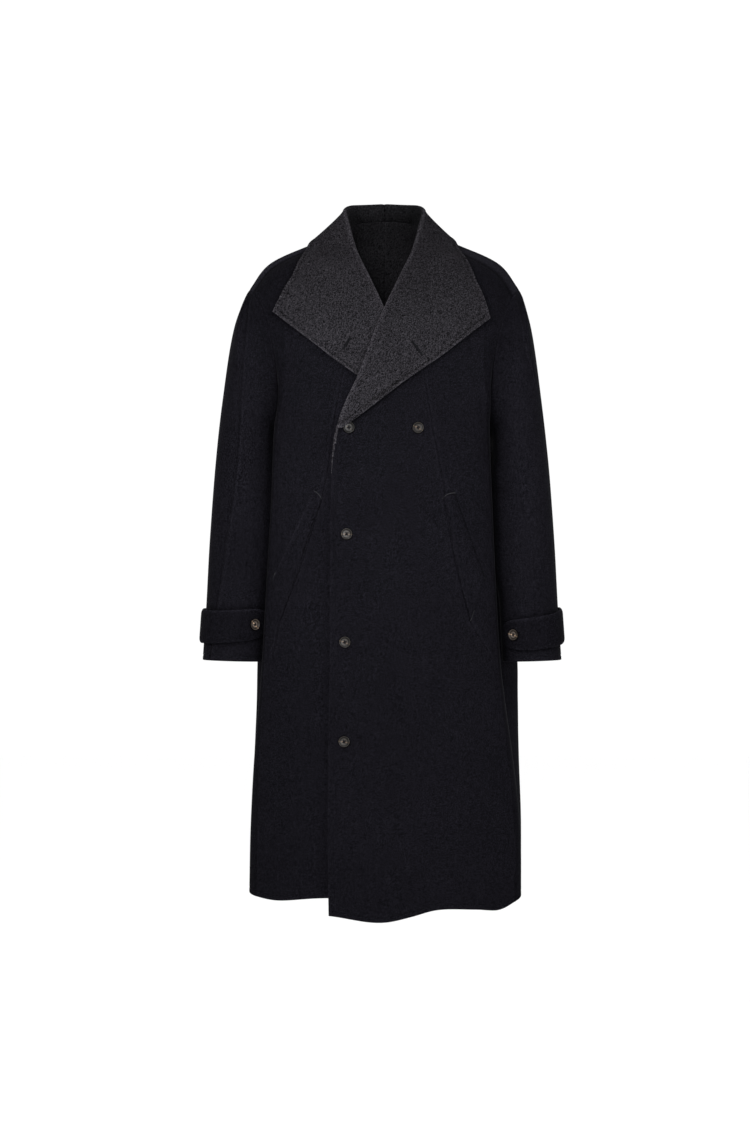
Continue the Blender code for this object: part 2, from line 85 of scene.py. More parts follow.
# The same sections of the back, from the armhole over the shoulder blade to the centre back.
Yoke = namedtuple("Yoke", "armhole blade middle neck near_centre centre")
YOKE = [
    Yoke((190, 64, -245), (181, 108, -242), (112, 133, -236), (62, 137, -231), (30, 138, -228),
         (0, 139, -226)),
    Yoke((206, 82, -165), (176, 112, -158), (108, 130, -146), (62, 134, -138), (31, 135, -134),
         (0, 136, -132)),
    Yoke((221, 66, -97), (182, 92, -82), (112, 111, -58), (66, 117, -47), (33, 120, -41), (0, 121, -38)),
    Yoke((231, 36, -57), (192, 52, -22), (120, 70, 8), (70, 82, 24), (36, 96, 33), (0, 103, 37)),
    Yoke((236, 4, -43), (200, 8, 3), (130, 10, 36), (72, 12, 58), (45, 58, 77), (0, 78, 83)),
]

# How far the hem lies above the lowest level, by place across a panel in columns.
HEM_RISE = {
    "front_left": (
        (0.0, -18), (0.6, -28), (0.85, -19), (1.1, -9), (1.5, -10), (1.75, -13),
        (2.0, -2), (2.5, 12), (3.0, 30),
    ),
    "front_right": ((0.0, 17), (1.0, 12), (1.35, 9), (1.7, 4), (2.0, 8), (3.0, 24)),
    "back_left": ((0.0, 30), (1.0, 36), (2.0, 24), (5.0, 18)),
    "back_right": ((0.0, 24), (1.0, 30), (2.0, 20), (5.0, 18)),
}
HEM_REACH = 2.0  # levels over which that fades out

# The dart seam of each front, from under the lapel past the pocket to the side, by level place.
Dart = namedtuple("Dart", "down x_left x_right")
DART = [
    Dart(0.0, 190, 200),
    Dart(3.0, 186, 196),
    Dart(4.06, 180, 191),
    Dart(4.53, 147.5, 180),
    Dart(5.35, 120, 140.4),
    Dart(6.08, 101.7, 107.4),
    Dart(6.2, 103.7, 104),
    Dart(6.5, 94, 96),
    Dart(7.0, 82, 88),
    Dart(7.75, 74.5, 80.5),
    Dart(8.4, 65.5, 70.5),
    Dart(9.0, 58, 63),
    Dart(12.0, 108, 110),
]
DART_SEEN = (3.9, 4.1)  # the seam fades in between these level places
SEARCH_CUTS = 49  # places across a front at which a point is looked for

# Rings of the sleeve from the armhole to the cuff: each runs through an outer and an inner point. The seam
# columns are the turn of the overarm seam towards the front, in degrees.
Ring = namedtuple("Ring", "outer_x outer_z inner_x inner_z half_depth centre_y sway seam_left seam_right")
SLEEVE = [
    Ring(236, -43, 174, -290, 80, 4, 0, 0, 0),
    Ring(259, -112, 186, -303, 79, 1, -3, 40, 46),
    Ring(277, -235, 189, -340, 77, -3, -4, 26, 70),
    Ring(289, -345, 191, -405, 74, -7, -4, 6, 74),
    Ring(299, -480, 194, -505, 70, -12, -4, 0, 64),
    Ring(305, -595, 200, -605, 66, -16, -4, 0, 52),
    Ring(311, -686, 204, -689, 62, -18, -4, 0, 42),
]
CUFF = len(SLEEVE) - 1  # place of the cuff along a sleeve
ARMHOLE_FADE = 1.6  # rings over which the armhole's own shape turns into the rings' ovals

# The turned collar and lapel at six places up the front edge and two round the back neck: how far the roll
# stands from the seam and leans aside, the outer edge on each side, the gap under the cloth at the roll and
# at the edge, and the length over which the cloth bends away from the roll.
Fall = namedtuple("Fall", "stand aside edge_left edge_right gap_left gap_right gap_edge bend")
COLLAR = [
    Fall((-3, -1, 1), 9, (182, -103, -99), (192, -103, -88), 5.6, 2.4, 6.0, 6),
    Fall((-3, 0, 1), 4, (175, -97, -75), (182, -97, -67), 4.6, 2.4, 5.0, 8),
    Fall((-4, 1, 3), 4, (166, -86, -49), (171, -86, -44), 3.8, 2.6, 4.5, 10),
    Fall((-5, 2, 4), 4, (153, -69, -22), (157, -69, -20), 3.6, 3.2, 4.0, 12),
    Fall((-5, 2, 10), 3, (136, -42, 11), (142, -42, 9), 3.8, 3.8, 4.0, 12),
    Fall((-5, 2, 39), 3, (119, 6, 46), (125, 6, 43), 4.0, 4.0, 4.0, 6),
    Fall((2, 4, 29), 0, (84, 88, 32), (84, 88, 32), 4.0, 4.0, 4.0, 8),
    Fall((0, 2, 27), 0, (0, 118, 18), (0, 118, 18), 4.0, 4.0, 4.0, 10),
]
SHOULDER_STATION = 5  # place of the shoulder seam along the collar
BACK_STATION = 7  # place of the centre back along the collar
NECK_LIFT = 0.9  # the stand starts this far above the neck seam

# The strap round each cuff, by angle from the overarm line towards the front: its edges and how far it
# stands off.
Strap = namedtuple("Strap", "angle top_left low_left top_right low_right off")
STRAP = [
    Strap(-105, -598, -655, -599, -656, 1.5),
    Strap(-40, -596, -655, -597, -656, 4.2),
    Strap(0, -596, -657, -597, -657, 5.4),
    Strap(50, -606, -664, -600, -657, 4.2),
    Strap(100, -613, -669, -598, -654, 2.2),
    Strap(152, -618, -666, -595, -647, 1.5),
]
STRAP_BUTTON_ANGLE = 122.0

# Corners of each pocket welt on the front, as x and z, and the inward bow of its sewn edge.
Welt = namedtuple("Welt", "top_inner top_outer low_outer low_inner")
WELTS = {
    LEFT: Welt((99.7, -406), (120.2, -401), (171.0, -542), (146.5, -617)),
    RIGHT: Welt((107.7, -409), (120.4, -395), (190.5, -546), (179.0, -617)),
}
WELT_BOW = 5.0
WELT_OFF = 0.5

# Places of the front buttons, as x and z.
FRONT_BUTTONS = {
    "button_lap_1": (-60.3, -288.0),
    "button_lap_2": (-64.2, -469.0),
    "button_lap_3": (-67.1, -653.0),
    "button_lap_4": (-68.3, -822.0),
    "button_chest": (56.8, -288.5),
}
BUTTON_OFF = 0.5

# Fineness of the cloth and the finer cuts beside its edges and seams.
STEP = 4.6
EDGE_CUTS = (0.35, 0.9, 1.8, 3.2, 5.0, 6.4, 7.2, 8.0, 8.8, 9.6, 11.0)
SEAM_CUTS = (0.4, 1.0, 1.8, 3.0, 4.6)
SHOULDER_CUTS = (*SEAM_CUTS, *np.arange(7.5, 52.0, 3.0))
DART_CUTS = (0.5, 1.0, 1.7, 2.8, 4.5)
FRONT_WIDTHS = (180.0, 150.0)  # nominal widths of the front before and after the dart
BACK_WIDTHS = (210.0, 130.0)  # nominal widths of the back outside and inside the neck point
CHEST_LENGTH = 290.0  # nominal length from the armhole's lowest point to the shoulder
SLEEVE_LENGTH = 560.0  # nominal length from the armhole to the cuff

# Sewing: a rounded cut edge, the valley at a seam and the line of hand stitches beside an edge.
EDGE_RADIUS = 1.15
SEAM_CREASE = Mark(0.35, 0.7)
SEAM_DIP = Mark(0.7, 3.0)
SHOULDER_LINE = {LEFT: 42.0, RIGHT: 26.0}  # from the shoulder seam to the stitched line on each front
SHOULDER_DIP = Mark(1.0, 3.0)
DART_DIP = Mark(1.2, 1.6)
STITCH_INSET = 8.0
STITCH_DIP = Mark(0.75, 1.0, STITCH_INSET)
STITCH_LENGTH = 3.4
STITCH_GAP = 3.6
STITCH_RADIUS = 0.26
STITCH_SINK = 0.5  # share of its radius by which a stitch lies in the cloth
STITCH_RINGS = 5
STITCH_SIDES = 6
DEEPEST = 2.1  # no seam draws the outer face in further than this
THINNEST = 0.15  # and it leaves at least this much cloth

# The stitched edge of the collar and lapels is a little puckered.
PUCKER_LENGTH = 5.6
PUCKER_DEPTH = 0.5  # share by which the stitches' groove deepens and fades
PUCKER = Mark(0.4, STITCH_INSET)

# Tone about the sewing: painted shade in a seam, a painted highlight on the lip beside it and at edges.
SEAM_SHADE = Mark(-0.4, 1.2)
ARMHOLE_SHADE = Mark(-0.2, 1.2)
DART_SHADE = Mark(-0.22, 1.2)
SEAM_LIP_HIGHLIGHT = Mark(0.22, 1.7, 3.2)
EDGE_HIGHLIGHT = Mark(0.35, 1.6)
COLLAR_EDGE_HIGHLIGHT = Mark(0.6, 3.0)
# Painted shade in the stitches' groove, and painted light and shade on the puckers.
STITCH_SHADE = Mark(-0.5, 1.6, STITCH_INSET)
PUCKER_SHADE = Mark(-0.3, 6.0)
# A painted highlight on the lapel's roll.
ROLL_HIGHLIGHT = Mark(0.9, 5.5)
LAPEL_LIGHT_BY_LEVEL = {  # painted shade of the lapels by level, darker towards the neck
    LEFT: ((-260.0, 1.04), (-150.0, 0.98), (-60.0, 0.82), (60.0, 0.62)),
    RIGHT: ((-260.0, 1.06), (-120.0, 1.02), (-30.0, 0.9), (60.0, 0.76)),
}
LAP_SHADE = Mark(-0.15, 3.0)  # painted shadow on the under lapel beside the over lapel's roll
LAPEL_SHADE = Mark(-0.42, 6.0)  # painted shadow on the fronts along the lapels' edges
# The straps are a little darker all over, with painted highlights along their edges.
STRAP_TONE = 0.85
STRAP_EDGE_HIGHLIGHT = Mark(1.0, 3.6)
STRAP_LOW_HIGHLIGHT = Mark(0.3, 3.6)
STRAP_SHADE = Mark(-0.6, 6.0)  # painted shadow on the sleeves along the straps' edges
WELT_EDGE = {LEFT: Mark(-0.75, 3.2), RIGHT: Mark(0.6, 3.2)}  # painted shade on one open edge, a painted highlight on the other

# Tone of the shoulders: a painted highlight on the strip above the stitched line, in shares of its width,
# painted shade at that line and below it.
SHOULDER_HIGHLIGHT = {LEFT: Mark(0.6, 0.34, 0.5), RIGHT: Mark(1.0, 0.34, 0.5)}
SHOULDER_SHADE = Mark(-0.5, 4.5)
SHOULDER_DUSK = 0.2
SHOULDER_DUSK_START = 0.8  # share of the strip at which the dusk sets in
SHOULDER_DUSK_REACH = (60.0, 150.0)

# Tone of the sleeves: painted light on each, by side, and painted shade near the armholes.
SLEEVE_LIGHT = {LEFT: 1.12, RIGHT: 1.05}
HEAD_DUSK = 0.24
HEAD_DUSK_REACH = (20.0, 130.0)

# Below these levels each front's ridge has a painted highlight, with painted shade on the cloth behind it
# and on the sleeve beside it.
RIDGE_LEVELS = (-100.0, -140.0)
RIDGE_HIGHLIGHT = Mark(0.14, 3.0)
RIDGE_SHADE = Mark(-0.4, 9.0)
BESIDE_LEVELS = (-190.0, -260.0)
BESIDE_SHADE = Mark(-0.4, 6.0)

# Below the lapel the left front's edge is turned a little, so that its grey reverse shows between two levels,
# made a little paler there.
TURNED_LEVELS = (-375.0, -285.0)
TURNED_WIDTH = 5.0
TURNED_PALENESS = 0.4
TURNED_FACE = 2  # place of the material that shows there among those of a piece

# Measures for finding points on the cloth.
NECK_STRIP = np.array((0.0, 0.02, 0.04))  # places beside the neck edge from which its normals are worked out
BEFORE_NAPE = 0.05  # the nape's line starts this far before the shoulder seam
FAR = 1000.0
NEARLY_TOUCHING = 0.3
UNDERNEATH = -0.7  # a point is under a face if the cosine of its way from the normal is below this

# Fineness of the collar, straps and pocket welts.
LAPEL_LENGTHS = (105.0, 300.0, 110.0)  # from the lapel's low edge to its tip, to the shoulder and to the back
LAPEL_STEP = 1.6
LAPEL_CUTS = (0.35, 0.9, 1.8)
FALL_LENGTH = 150.0  # nominal width from the roll to the edge
ROLL_TURNS = 9
ROLL_TOP = ROLL_TURNS // 2 + 2  # the collar's column just in front of the top of its roll
ROLL_EASING = 48  # passes that ease the roll's kink at the shoulder seam
INSIDE_LOW = 2  # columns of the collar that lie inside, on the lapel
INSIDE_HIGH = 5  # and at the back neck
INSIDE_STATIONS = (4.0, 5.5)
# The grey in painted shade inside the collar is made this much lighter.
INSIDE_TONE = 1.35
STRAP_SIZE = (280.0, 58.0)  # nominal length and height
STRAP_CUTS = (0.35, 0.9, 1.8, 3.2)
STRAP_STEP = 3.0
STRAP_SWELL = 0.6
SWELL_REACH = 12.0  # the swelling sets in over this distance from an edge
STRAP_ROUND = 36.0  # degrees over which the buttoned end is rounded
STRAP_TAPER = 0.5  # share of its height that the strap's rounded end loses
STRAP_TUCK = 8.0  # the strap's edges turn to the sleeve over this width
STRAP_CLEAR = 1.2  # and end this far off it
WELT_SIZE = (28.0, 220.0)  # nominal width and length
WELT_CLOTH = 1.6

# Soft folds, as start and end places on the panel, half width, rise or depth, sideways bow and the shares of
# the length over which each end fades. The places are x and z on the body, and on a sleeve the length round
# it from its first seam and z.
Fold = namedtuple("Fold", "start end width rise bow fade_in fade_out")
FOLDS = {
    "front_left": [
        Fold((-20, -420), (-10, -1180), 60, 1.5, 6, 0.3, 0.1),
        Fold((62, -690), (84, -1180), 42, -2.6, -8, 0.4, 0.1),
        Fold((130, -640), (150, -1180), 40, 2.0, 5, 0.4, 0.1),
        Fold((150, -300), (60, -470), 26, -1.2, 10, 0.5, 0.6),
    ],
    "front_right": [
        Fold((104, -480), (110, -1180), 24, -3.0, 4, 0.4, 0.1),
        Fold((160, -660), (168, -1180), 34, 2.0, 4, 0.4, 0.1),
        Fold((150, -290), (70, -440), 26, -1.2, 10, 0.5, 0.6),
    ],
    "back": [
        Fold((58, -330), (66, -1180), 34, -4.0, 6, 0.5, 0.1),
        Fold((112, -360), (124, -1180), 38, 3.0, -8, 0.5, 0.1),
        Fold((176, -420), (170, -1180), 28, -3.0, 6, 0.5, 0.1),
        Fold((0, -110), (120, -70), 16, -1.6, -12, 0.3, 0.6),
        Fold((190, -170), (110, -300), 22, -1.6, 8, 0.3, 0.6),
    ],
    "sleeve_front": [
        Fold((196, -330), (96, -392), 13, -2.2, 8, 0.2, 0.7),
        Fold((196, -392), (70, -438), 14, -2.6, 10, 0.2, 0.7),
        Fold((196, -462), (100, -470), 12, -1.6, -6, 0.2, 0.7),
        Fold((190, -300), (80, -190), 18, -1.4, -8, 0.2, 0.7),
    ],
    "sleeve_back": [
        Fold((4, -372), (110, -408), 13, -2.2, -8, 0.2, 0.7),
        Fold((4, -428), (120, -446), 14, -2.4, 8, 0.2, 0.7),
        Fold((20, -300), (130, -190), 18, -1.6, 8, 0.2, 0.7),
        Fold((130, -480), (124, -670), 26, 1.4, 4, 0.4, 0.3),
    ],
}

# Inside the elbow each sleeve is fuller, towards the body, between these depths below the origin.
INNER_FULL = Mark(7.0, 60.0)
INNER_FULL_TOP = (290.0, 400.0)
INNER_FULL_LOW = (520.0, 590.0)

# The soft ridge down the outside of each sleeve, a little raised with a painted highlight, with painted
# shade in a line behind it: how far it lies ahead of the overarm seam, by depth below the origin.
OVERARM_RISE = Mark(0.9, 3.6)
OVERARM_HIGHLIGHT = Mark(0.28, 3.6)
OVERARM_SHADE = Mark(-0.18, 3.6, -6.0)
Overarm = namedtuple("Overarm", "depth ahead_left ahead_right")
OVERARM = [
    Overarm(43, 34, 9),
    Overarm(60, 31, 19),
    Overarm(93, 21, 29),
    Overarm(140, 10, 29),
    Overarm(193, 6, 22),
    Overarm(244, 3, 13),
    Overarm(300, 1, 7),
    Overarm(420, 0, 4),
]

# Threads are round tubes that are drawn to a point over their ends.
TUBE_SIDES = 8
TUBE_HELPER = (0.31, 0.2, 0.93)  # a way that no thread runs along
TUBE_TIP = 0.12  # radians of the half turn that are left out at each end
TUBE_FULL = 2.2  # the larger, the sooner a tube has its full width
TUBE_THIN = 0.2  # the least of its section at an end

# Buttons: sections of a round body as radius and height, four holes in its dish and a crossed thread.
BUTTON_MATERIALS = ("button_horn", "thread_black", "button_rim_painted_shade")
BUTTON_SIDES = 56
DISH_HEIGHT = 2.32
DISH_FLOOR = 2.2
BUTTON_PROFILE = (
    (0.001, 0.0),
    (4.0, 0.0),
    (8.6, 0.3),
    (10.0, 1.0),
    (10.4, 1.9),
    (10.3, 2.6),
    (9.9, 3.2),
    (9.2, 3.55),
    (8.4, 3.5),
    (7.8, 3.15),
    (7.3, 2.65),
    (6.8, 2.42),
    (6.0, 2.36),
    (5.2, 2.34),
    (4.6, 2.33),
    *((radius, DISH_HEIGHT) for radius in (4.1, 3.7, 3.3, 2.9, 2.5, 2.1, 1.7, 1.3, 0.8, 0.001)),
)
RING_SHADE = Mark(-0.85, 1.2, 6.8)  # painted shade in the ring between the rim and the dish
DISH_PALE = (4.2, 5.4)  # the dish has a painted highlight up to these radii
DISH_HIGHLIGHT = 0.8
RIM_AT = 9.5  # from here outwards the rim is dark and dull, painted shade and reflection of the black cloth
HOLE_RADIUS = 1.15
HOLE_FLOOR = 0.55  # share of its radius over which a hole has its full depth
HOLE_DEPTH = 1.1
BUTTON_HOLES = ((1.9, 1.9), (-1.9, 1.9), (-1.9, -1.9), (1.9, -1.9))
CROSS_HOLES = ((0, 2), (1, 3))
CROSS_CUTS = 9
CROSS_SINK = 0.5  # the thread's ends lie this far below the dish
CROSS_ARCH = 1.3  # and its middle rises this far above them
THREAD_RADIUS = 0.55
# Painted shadow on the first button under the lapel, and painted highlights on the cuff buttons.
BUTTON_LIGHT_AND_SHADE = {"button_lap_1": 0.3, "button_cuff_left": 3.6, "button_cuff_right": 4.0}  # the others have 1
BUTTON_TURNS = {
    "button_lap_1": 50,
    "button_lap_2": 82,
    "button_lap_3": 64,
    "button_lap_4": 76,
    "button_chest": 58,
    "button_cuff_left": 70,
    "button_cuff_right": 40,
}

# Worked buttonholes on the lapels and the tacks that hold the pocket welts, as x and z on the left side.
LAPEL_HOLES = {
    LEFT: ((46.2, -139.4), (64.6, -166.6)),
    RIGHT: ((58.1, -134.3), (70.6, -154.7)),
}
Tack = namedtuple("Tack", "start end bow")
TACKS = {
    LEFT: [
        Tack((98.0, -409.0), (121.0, -399.0), 3.0),
        Tack((166.5, -531.0), (171.5, -545.0), 0.0),
        Tack((146.5, -618.0), (153.0, -599.0), 0.0),
    ],
    RIGHT: [
        Tack((107.0, -410.0), (121.0, -395.0), 2.0),
        Tack((186.5, -535.0), (191.0, -547.0), 0.0),
    ],
}
TACK_CUTS = 15
TACK_LIFT = 0.4
TACK_RADIUS = 0.5

# Worked buttonholes: a slit that bows open, a lip of thread on each side of it and short whips over the lips.
SLIT_CUTS = 25
SLIT_HALF = 0.9  # from the middle of the slit to a lip at its ends
SLIT_BOW = 0.5  # and so much more halfway along it
SLIT_LIFT = 0.05
SLIT_RADIUS = 1.25
LIP_LIFT = 0.25
LIP_RADIUS = 0.42
WHIP_LENGTH = 1.5
WHIP_DROP = 0.35
WHIP_RADIUS = 0.34
WHIP_CUTS = 4
WHIP_SIDES = 6

# The grain of a material, over places in metres, drawn out along a slanting upright and in depth.
Grain = namedtuple("Grain", "scale detail length slant", defaults=(1.0, 0.0))
GRAIN_ROUGHNESS = 0.6

# The wools, with colours in linear light: fibres from a dark to a light tone, flecks, clouds and a bumpy nap.
Wool = namedtuple("Wool", "dark light low high fibres flecks fleck clouds nap nap_strength sheen")
WOOLS = {
    "wool_black": Wool(
        dark=(0.0012, 0.0011, 0.0016),
        light=(0.0075, 0.0072, 0.0097),
        low=0.40,
        high=0.64,
        fibres=Grain(900.0, 3.0, 2.0, 0.7),
        flecks=Grain(720.0, 2.0),
        fleck=0.55,
        clouds=Grain(9.0, 2.0),
        nap=Grain(1500.0, 4.0, 2.0, 0.7),
        nap_strength=0.25,
        sheen=0.010,
    ),
    "wool_grey": Wool(
        dark=(0.0014, 0.0013, 0.0017),
        light=(0.0296, 0.0278, 0.0318),
        low=0.40,
        high=0.68,
        fibres=Grain(900.0, 3.0, 2.4, 0.75),
        flecks=Grain(760.0, 2.0),
        fleck=0.5,
        clouds=Grain(14.0, 2.0),
        nap=Grain(1500.0, 4.0, 2.4, 0.75),
        nap_strength=0.3,
        sheen=0.012,
    ),
    # The grey reverse in painted shade, darker, for the inside of the coat.
    "wool_grey_painted_shade": Wool(
        dark=(0.0010, 0.0010, 0.0012),
        light=(0.0134, 0.0131, 0.0146),
        low=0.38,
        high=0.70,
        fibres=Grain(1050.0, 3.0, 3.6, 0.6),
        flecks=Grain(640.0, 2.0),
        fleck=0.45,
        clouds=Grain(14.0, 2.0),
        nap=Grain(1500.0, 4.0, 3.6, 0.6),
        nap_strength=0.3,
        sheen=0.006,
    ),
}
FLECK_STOPS = (0.3, 0.7)  # values of a noise for its darkest and its palest tone
CLOUD = 0.07
NAP_HEIGHT = 0.0006
WOOL_ROUGHNESS = 0.95
WOOL_GLOSS = 0.01
SHEEN_ROUGHNESS = 0.3
SHEEN_TINT = (0.9, 0.92, 1.0, 1.0)

# Horn: streaks from a dark to a light tone, and across them a pale vein that wanders aside, in metres.
HORN_STREAKS = Grain(260.0, 3.0, 2.5, 1.2)
HORN_CLOUDS = Grain(170.0, 2.0)
HORN_BODY = ((0.3, (0.0050, 0.0041, 0.0035)), (0.72, (0.0190, 0.0155, 0.0130)))
HORN_VEIN = ((0.25, (0.0240, 0.0160, 0.0105)), (0.75, (0.0850, 0.0580, 0.0385)))
VEIN_WANDER = 0.009
VEIN_FROM = 0.0028  # sides of the vein
VEIN_TO = 0.0058
VEIN_STOPS = ((0.0, 0.0), (0.3, 1.0), (0.62, 1.0), (1.0, 0.0))
HORN_ROUGHNESS = 0.3
HORN_GLOSS = 0.12

# Threads, and the buttons' rims of painted shade made the same way, with a dark and a light tone each.
THREADS = {
    "thread_black": ((0.0030, 0.0030, 0.0036), (0.0085, 0.0085, 0.0100)),
    "thread_hole": ((0.0012, 0.0012, 0.0014), (0.0036, 0.0035, 0.0040)),
    "thread_dark": ((0.0130, 0.0125, 0.0140), (0.0340, 0.0330, 0.0360)),
    "thread_grey": ((0.0140, 0.0140, 0.0152), (0.0380, 0.0380, 0.0405)),
    "button_rim_painted_shade": ((0.0008, 0.0008, 0.0009), (0.0014, 0.0013, 0.0015)),
}
THREAD_STRANDS = Grain(3000.0, 2.0, 2.5, 0.6)
THREAD_STOPS = (0.35, 0.65)
THREAD_ROUGHNESS = 0.9

TONE_NAME = "tone"  # the attribute by which a mesh darkens or lightens its material, mostly with painted light and shade

# Places of the colour sockets on a mix node.
MIX_SHARE = 0
MIX_FIRST = 6
MIX_SECOND = 7
MIX_RESULT = 2

# The studio: a floor below the coat, a white surrounding, three soft lamps and a small low one, in metres,
# watts and degrees.
FLOOR_HALF = 14.0
FLOOR_Z = -1.62
FLOOR_TONE = 0.98
FLOOR_ROUGHNESS = 0.9
SURROUND = 1.02
Lamp = namedtuple("Lamp", "watts size spread place aim")
LAMPS = {
    "front": Lamp(12.0, (0.8, 0.8), 40.0, (-0.15, -6.5, -0.3), (0.0, 0.0, -0.3)),
    "key": Lamp(5.0, (0.6, 0.6), 60.0, (-0.9, -2.4, 0.7), (0.0, 0.0, -0.35)),
    "fill": Lamp(3.0, (0.8, 0.8), 60.0, (1.1, -2.4, 0.5), (0.0, 0.0, -0.35)),
    "kicker": Lamp(0.1, (0.5, 0.12), 180.0, (-0.2, -1.3, -1.55), (0.0, 0.0, -0.7)),
}
SENSOR = 36.0  # height of the camera's sensor, in millimetres
FOCAL_PIXELS = 3529.4
PHOTO_HEIGHT = 1125
FARTHEST = 100.0
CAMERA = (-0.01615, -6.14, -0.51765)

# The fields of a piece's cut, which no piece is given here: its width, length and flat area, in metres and
# square metres, and what it lies on or is sewn to.
Cut = namedtuple("Cut", "width length area sewn_to")


def unit(vectors):
    """The same vectors at length one."""
    return vectors / np.linalg.norm(vectors, axis=-1, keepdims=True)


def smooth(low, high, values):
    """Zero below low, one above high, and a smooth step between."""
    t = np.clip((np.asarray(values, float) - low) / (high - low), 0, 1)
    return t * t * (3 - 2 * t)


def bell(distance, mark):
    """The size of a mark at a distance: largest on its line, and fading to both sides."""
    return mark.size * np.exp(-(((distance - mark.at) / mark.width) ** 2))


def fading(distance, mark):
    """The size of a mark that fades away from an edge."""
    return mark.size * np.exp(-distance / mark.width)


def curve_between(t, start, end, start_slope, end_slope):
    """Values on a smooth curve from a start to an end, each with its own slope."""
    first = (1 + 2 * t) * (1 - t) ** 2 * start + t * (1 - t) ** 2 * start_slope
    last = t * t * (3 - 2 * t) * end + t * t * (t - 1) * end_slope
    return first + last


def spline(controls, at):
    """Points on a smooth curve through the controls, which lie at whole numbers."""
    controls = np.asarray(controls, float)
    slopes = np.gradient(controls, axis=0)
    at = np.clip(np.asarray(at, float), 0, len(controls) - 1)
    low = np.minimum(at.astype(int), len(controls) - 2)
    t = (at - low).reshape((-1,) + (1,) * (controls.ndim - 1))
    return curve_between(t, controls[low], controls[low + 1], slopes[low], slopes[low + 1])


def along_rows(rows, across):
    """Points on each row's smooth curve, at that row's own places."""
    last = rows.shape[1] - 1
    across = np.clip(across, 0, last)
    low = np.minimum(across.astype(int), last - 1)
    t = (across - low)[..., None]
    row = np.arange(len(rows))[:, None]
    slopes = np.gradient(rows, axis=1)
    return curve_between(t, rows[row, low], rows[row, low + 1], slopes[row, low], slopes[row, low + 1])


def eased(at, places, values):
    """Values at some places, on a smooth curve through the known ones."""
    slopes = np.gradient(values, places)
    at = np.clip(at, places[0], places[-1])
    low = np.clip(np.searchsorted(places, at, side="right") - 1, 0, len(places) - 2)
    span = places[low + 1] - places[low]
    t = (at - places[low]) / span
    return curve_between(t, values[low], values[low + 1], slopes[low] * span, slopes[low + 1] * span)


def repeated(places, rows):
    """The same places for each of a number of rows."""
    return np.tile(np.asarray(places, float), (rows, 1))


def cut_finely(length, first, last, step=STEP):
    """Shares of a length, cut evenly between finer cuts at its two ends."""
    low = np.array((0.0, *first))
    high = length - np.array((0.0, *last))[::-1]
    count = max(2, round((high[0] - low[-1]) / step))
    middle = np.linspace(low[-1], high[0], count + 1)[1:-1]
    return np.concatenate((low, middle, high)) / length


def normals_of(grid):
    """Unit normals of a grid whose rows and columns turn outwards on the left side."""
    across = np.gradient(grid, axis=1)
    along = np.gradient(grid, axis=0)
    return unit(np.cross(across, along))


def column(table, name):
    """One named column of a table."""
    return np.array([getattr(row, name) for row in table], float)


def on_side(row, name, side):
    """The value of a row's column that is stated for each side."""
    return getattr(row, f"{name}_{SIDE_NAMES[side]}")


def run_lengths(grid, axis):
    """The length along the cloth from the first row or column to each point."""
    steps = np.linalg.norm(np.diff(grid, axis=axis), axis=-1)
    start = np.zeros_like(np.take(steps, [0], axis=axis))
    return np.concatenate((start, np.cumsum(steps, axis=axis)), axis=axis)


def edge_distances(grid):
    """The distances along the cloth from a grid's first and last columns and its first and last rows."""
    across = run_lengths(grid, 1)
    along = run_lengths(grid, 0)
    return across, across[:, -1:] - across, along, along[-1:] - along


def nearest_distance(grid, line):
    """The distance from each point of a grid to the nearest point of a line of points."""
    return np.array([np.linalg.norm(row[:, None] - line[None], axis=-1).min(axis=1) for row in grid])


def rise_of_hem(name, across, down):
    """How far the hem's own line lifts each point of a panel."""
    fade = np.clip(1 - down / HEM_REACH, 0, 1)
    return fade[:, None] * eased(across, *np.array(HEM_RISE[name], float).T)


def lap_at(x, z):
    """How far the under front lies behind the over front."""
    return LAP * (1 - smooth(*LAP_FADE_X, x)) * (1 - smooth(*LAP_FADE_Z, z))


def panel_grid(name, levels, upper, down, across, seam, near_seam):
    """A panel through its levels and the sections above them. Its seam column keeps to a curve of its own on
    either side of the armhole's lowest point."""
    grid = along_rows(spline(levels + [tuple(row) for row in upper], down), across)
    side_seam = spline([row[seam] for row in levels], down)
    armhole = spline([levels[-1][seam]] + [row.armhole for row in upper], down - LOWEST)
    edge = np.where((down <= LOWEST)[:, None], side_seam, armhole)
    grid += (edge - grid[:, seam])[:, None] * near_seam[..., None]
    grid[..., 2] += rise_of_hem(name, across, down)
    return grid


def front_grid(side, down, across):
    """The front from its edge or roll line to the side seam or armhole."""
    levels = [
        (
            (row.edge_x, row.front_y + FRONT_EDGE_BOW, row.z),
            (FRONT_MIDDLE_X, row.front_y, row.z),
            (on_side(row, "ridge", side), row.ridge_y, row.z),
            (row.side_x, row.side_y, row.z),
        )
        for row in BODY
    ]
    near_seam = np.clip(across - RIDGE, 0, 1)
    grid = panel_grid(f"front_{SIDE_NAMES[side]}", levels, CHEST, down, across, -1, near_seam)
    if side == RIGHT:
        grid[..., 1] += lap_at(grid[..., 0], grid[..., 2])
    return grid


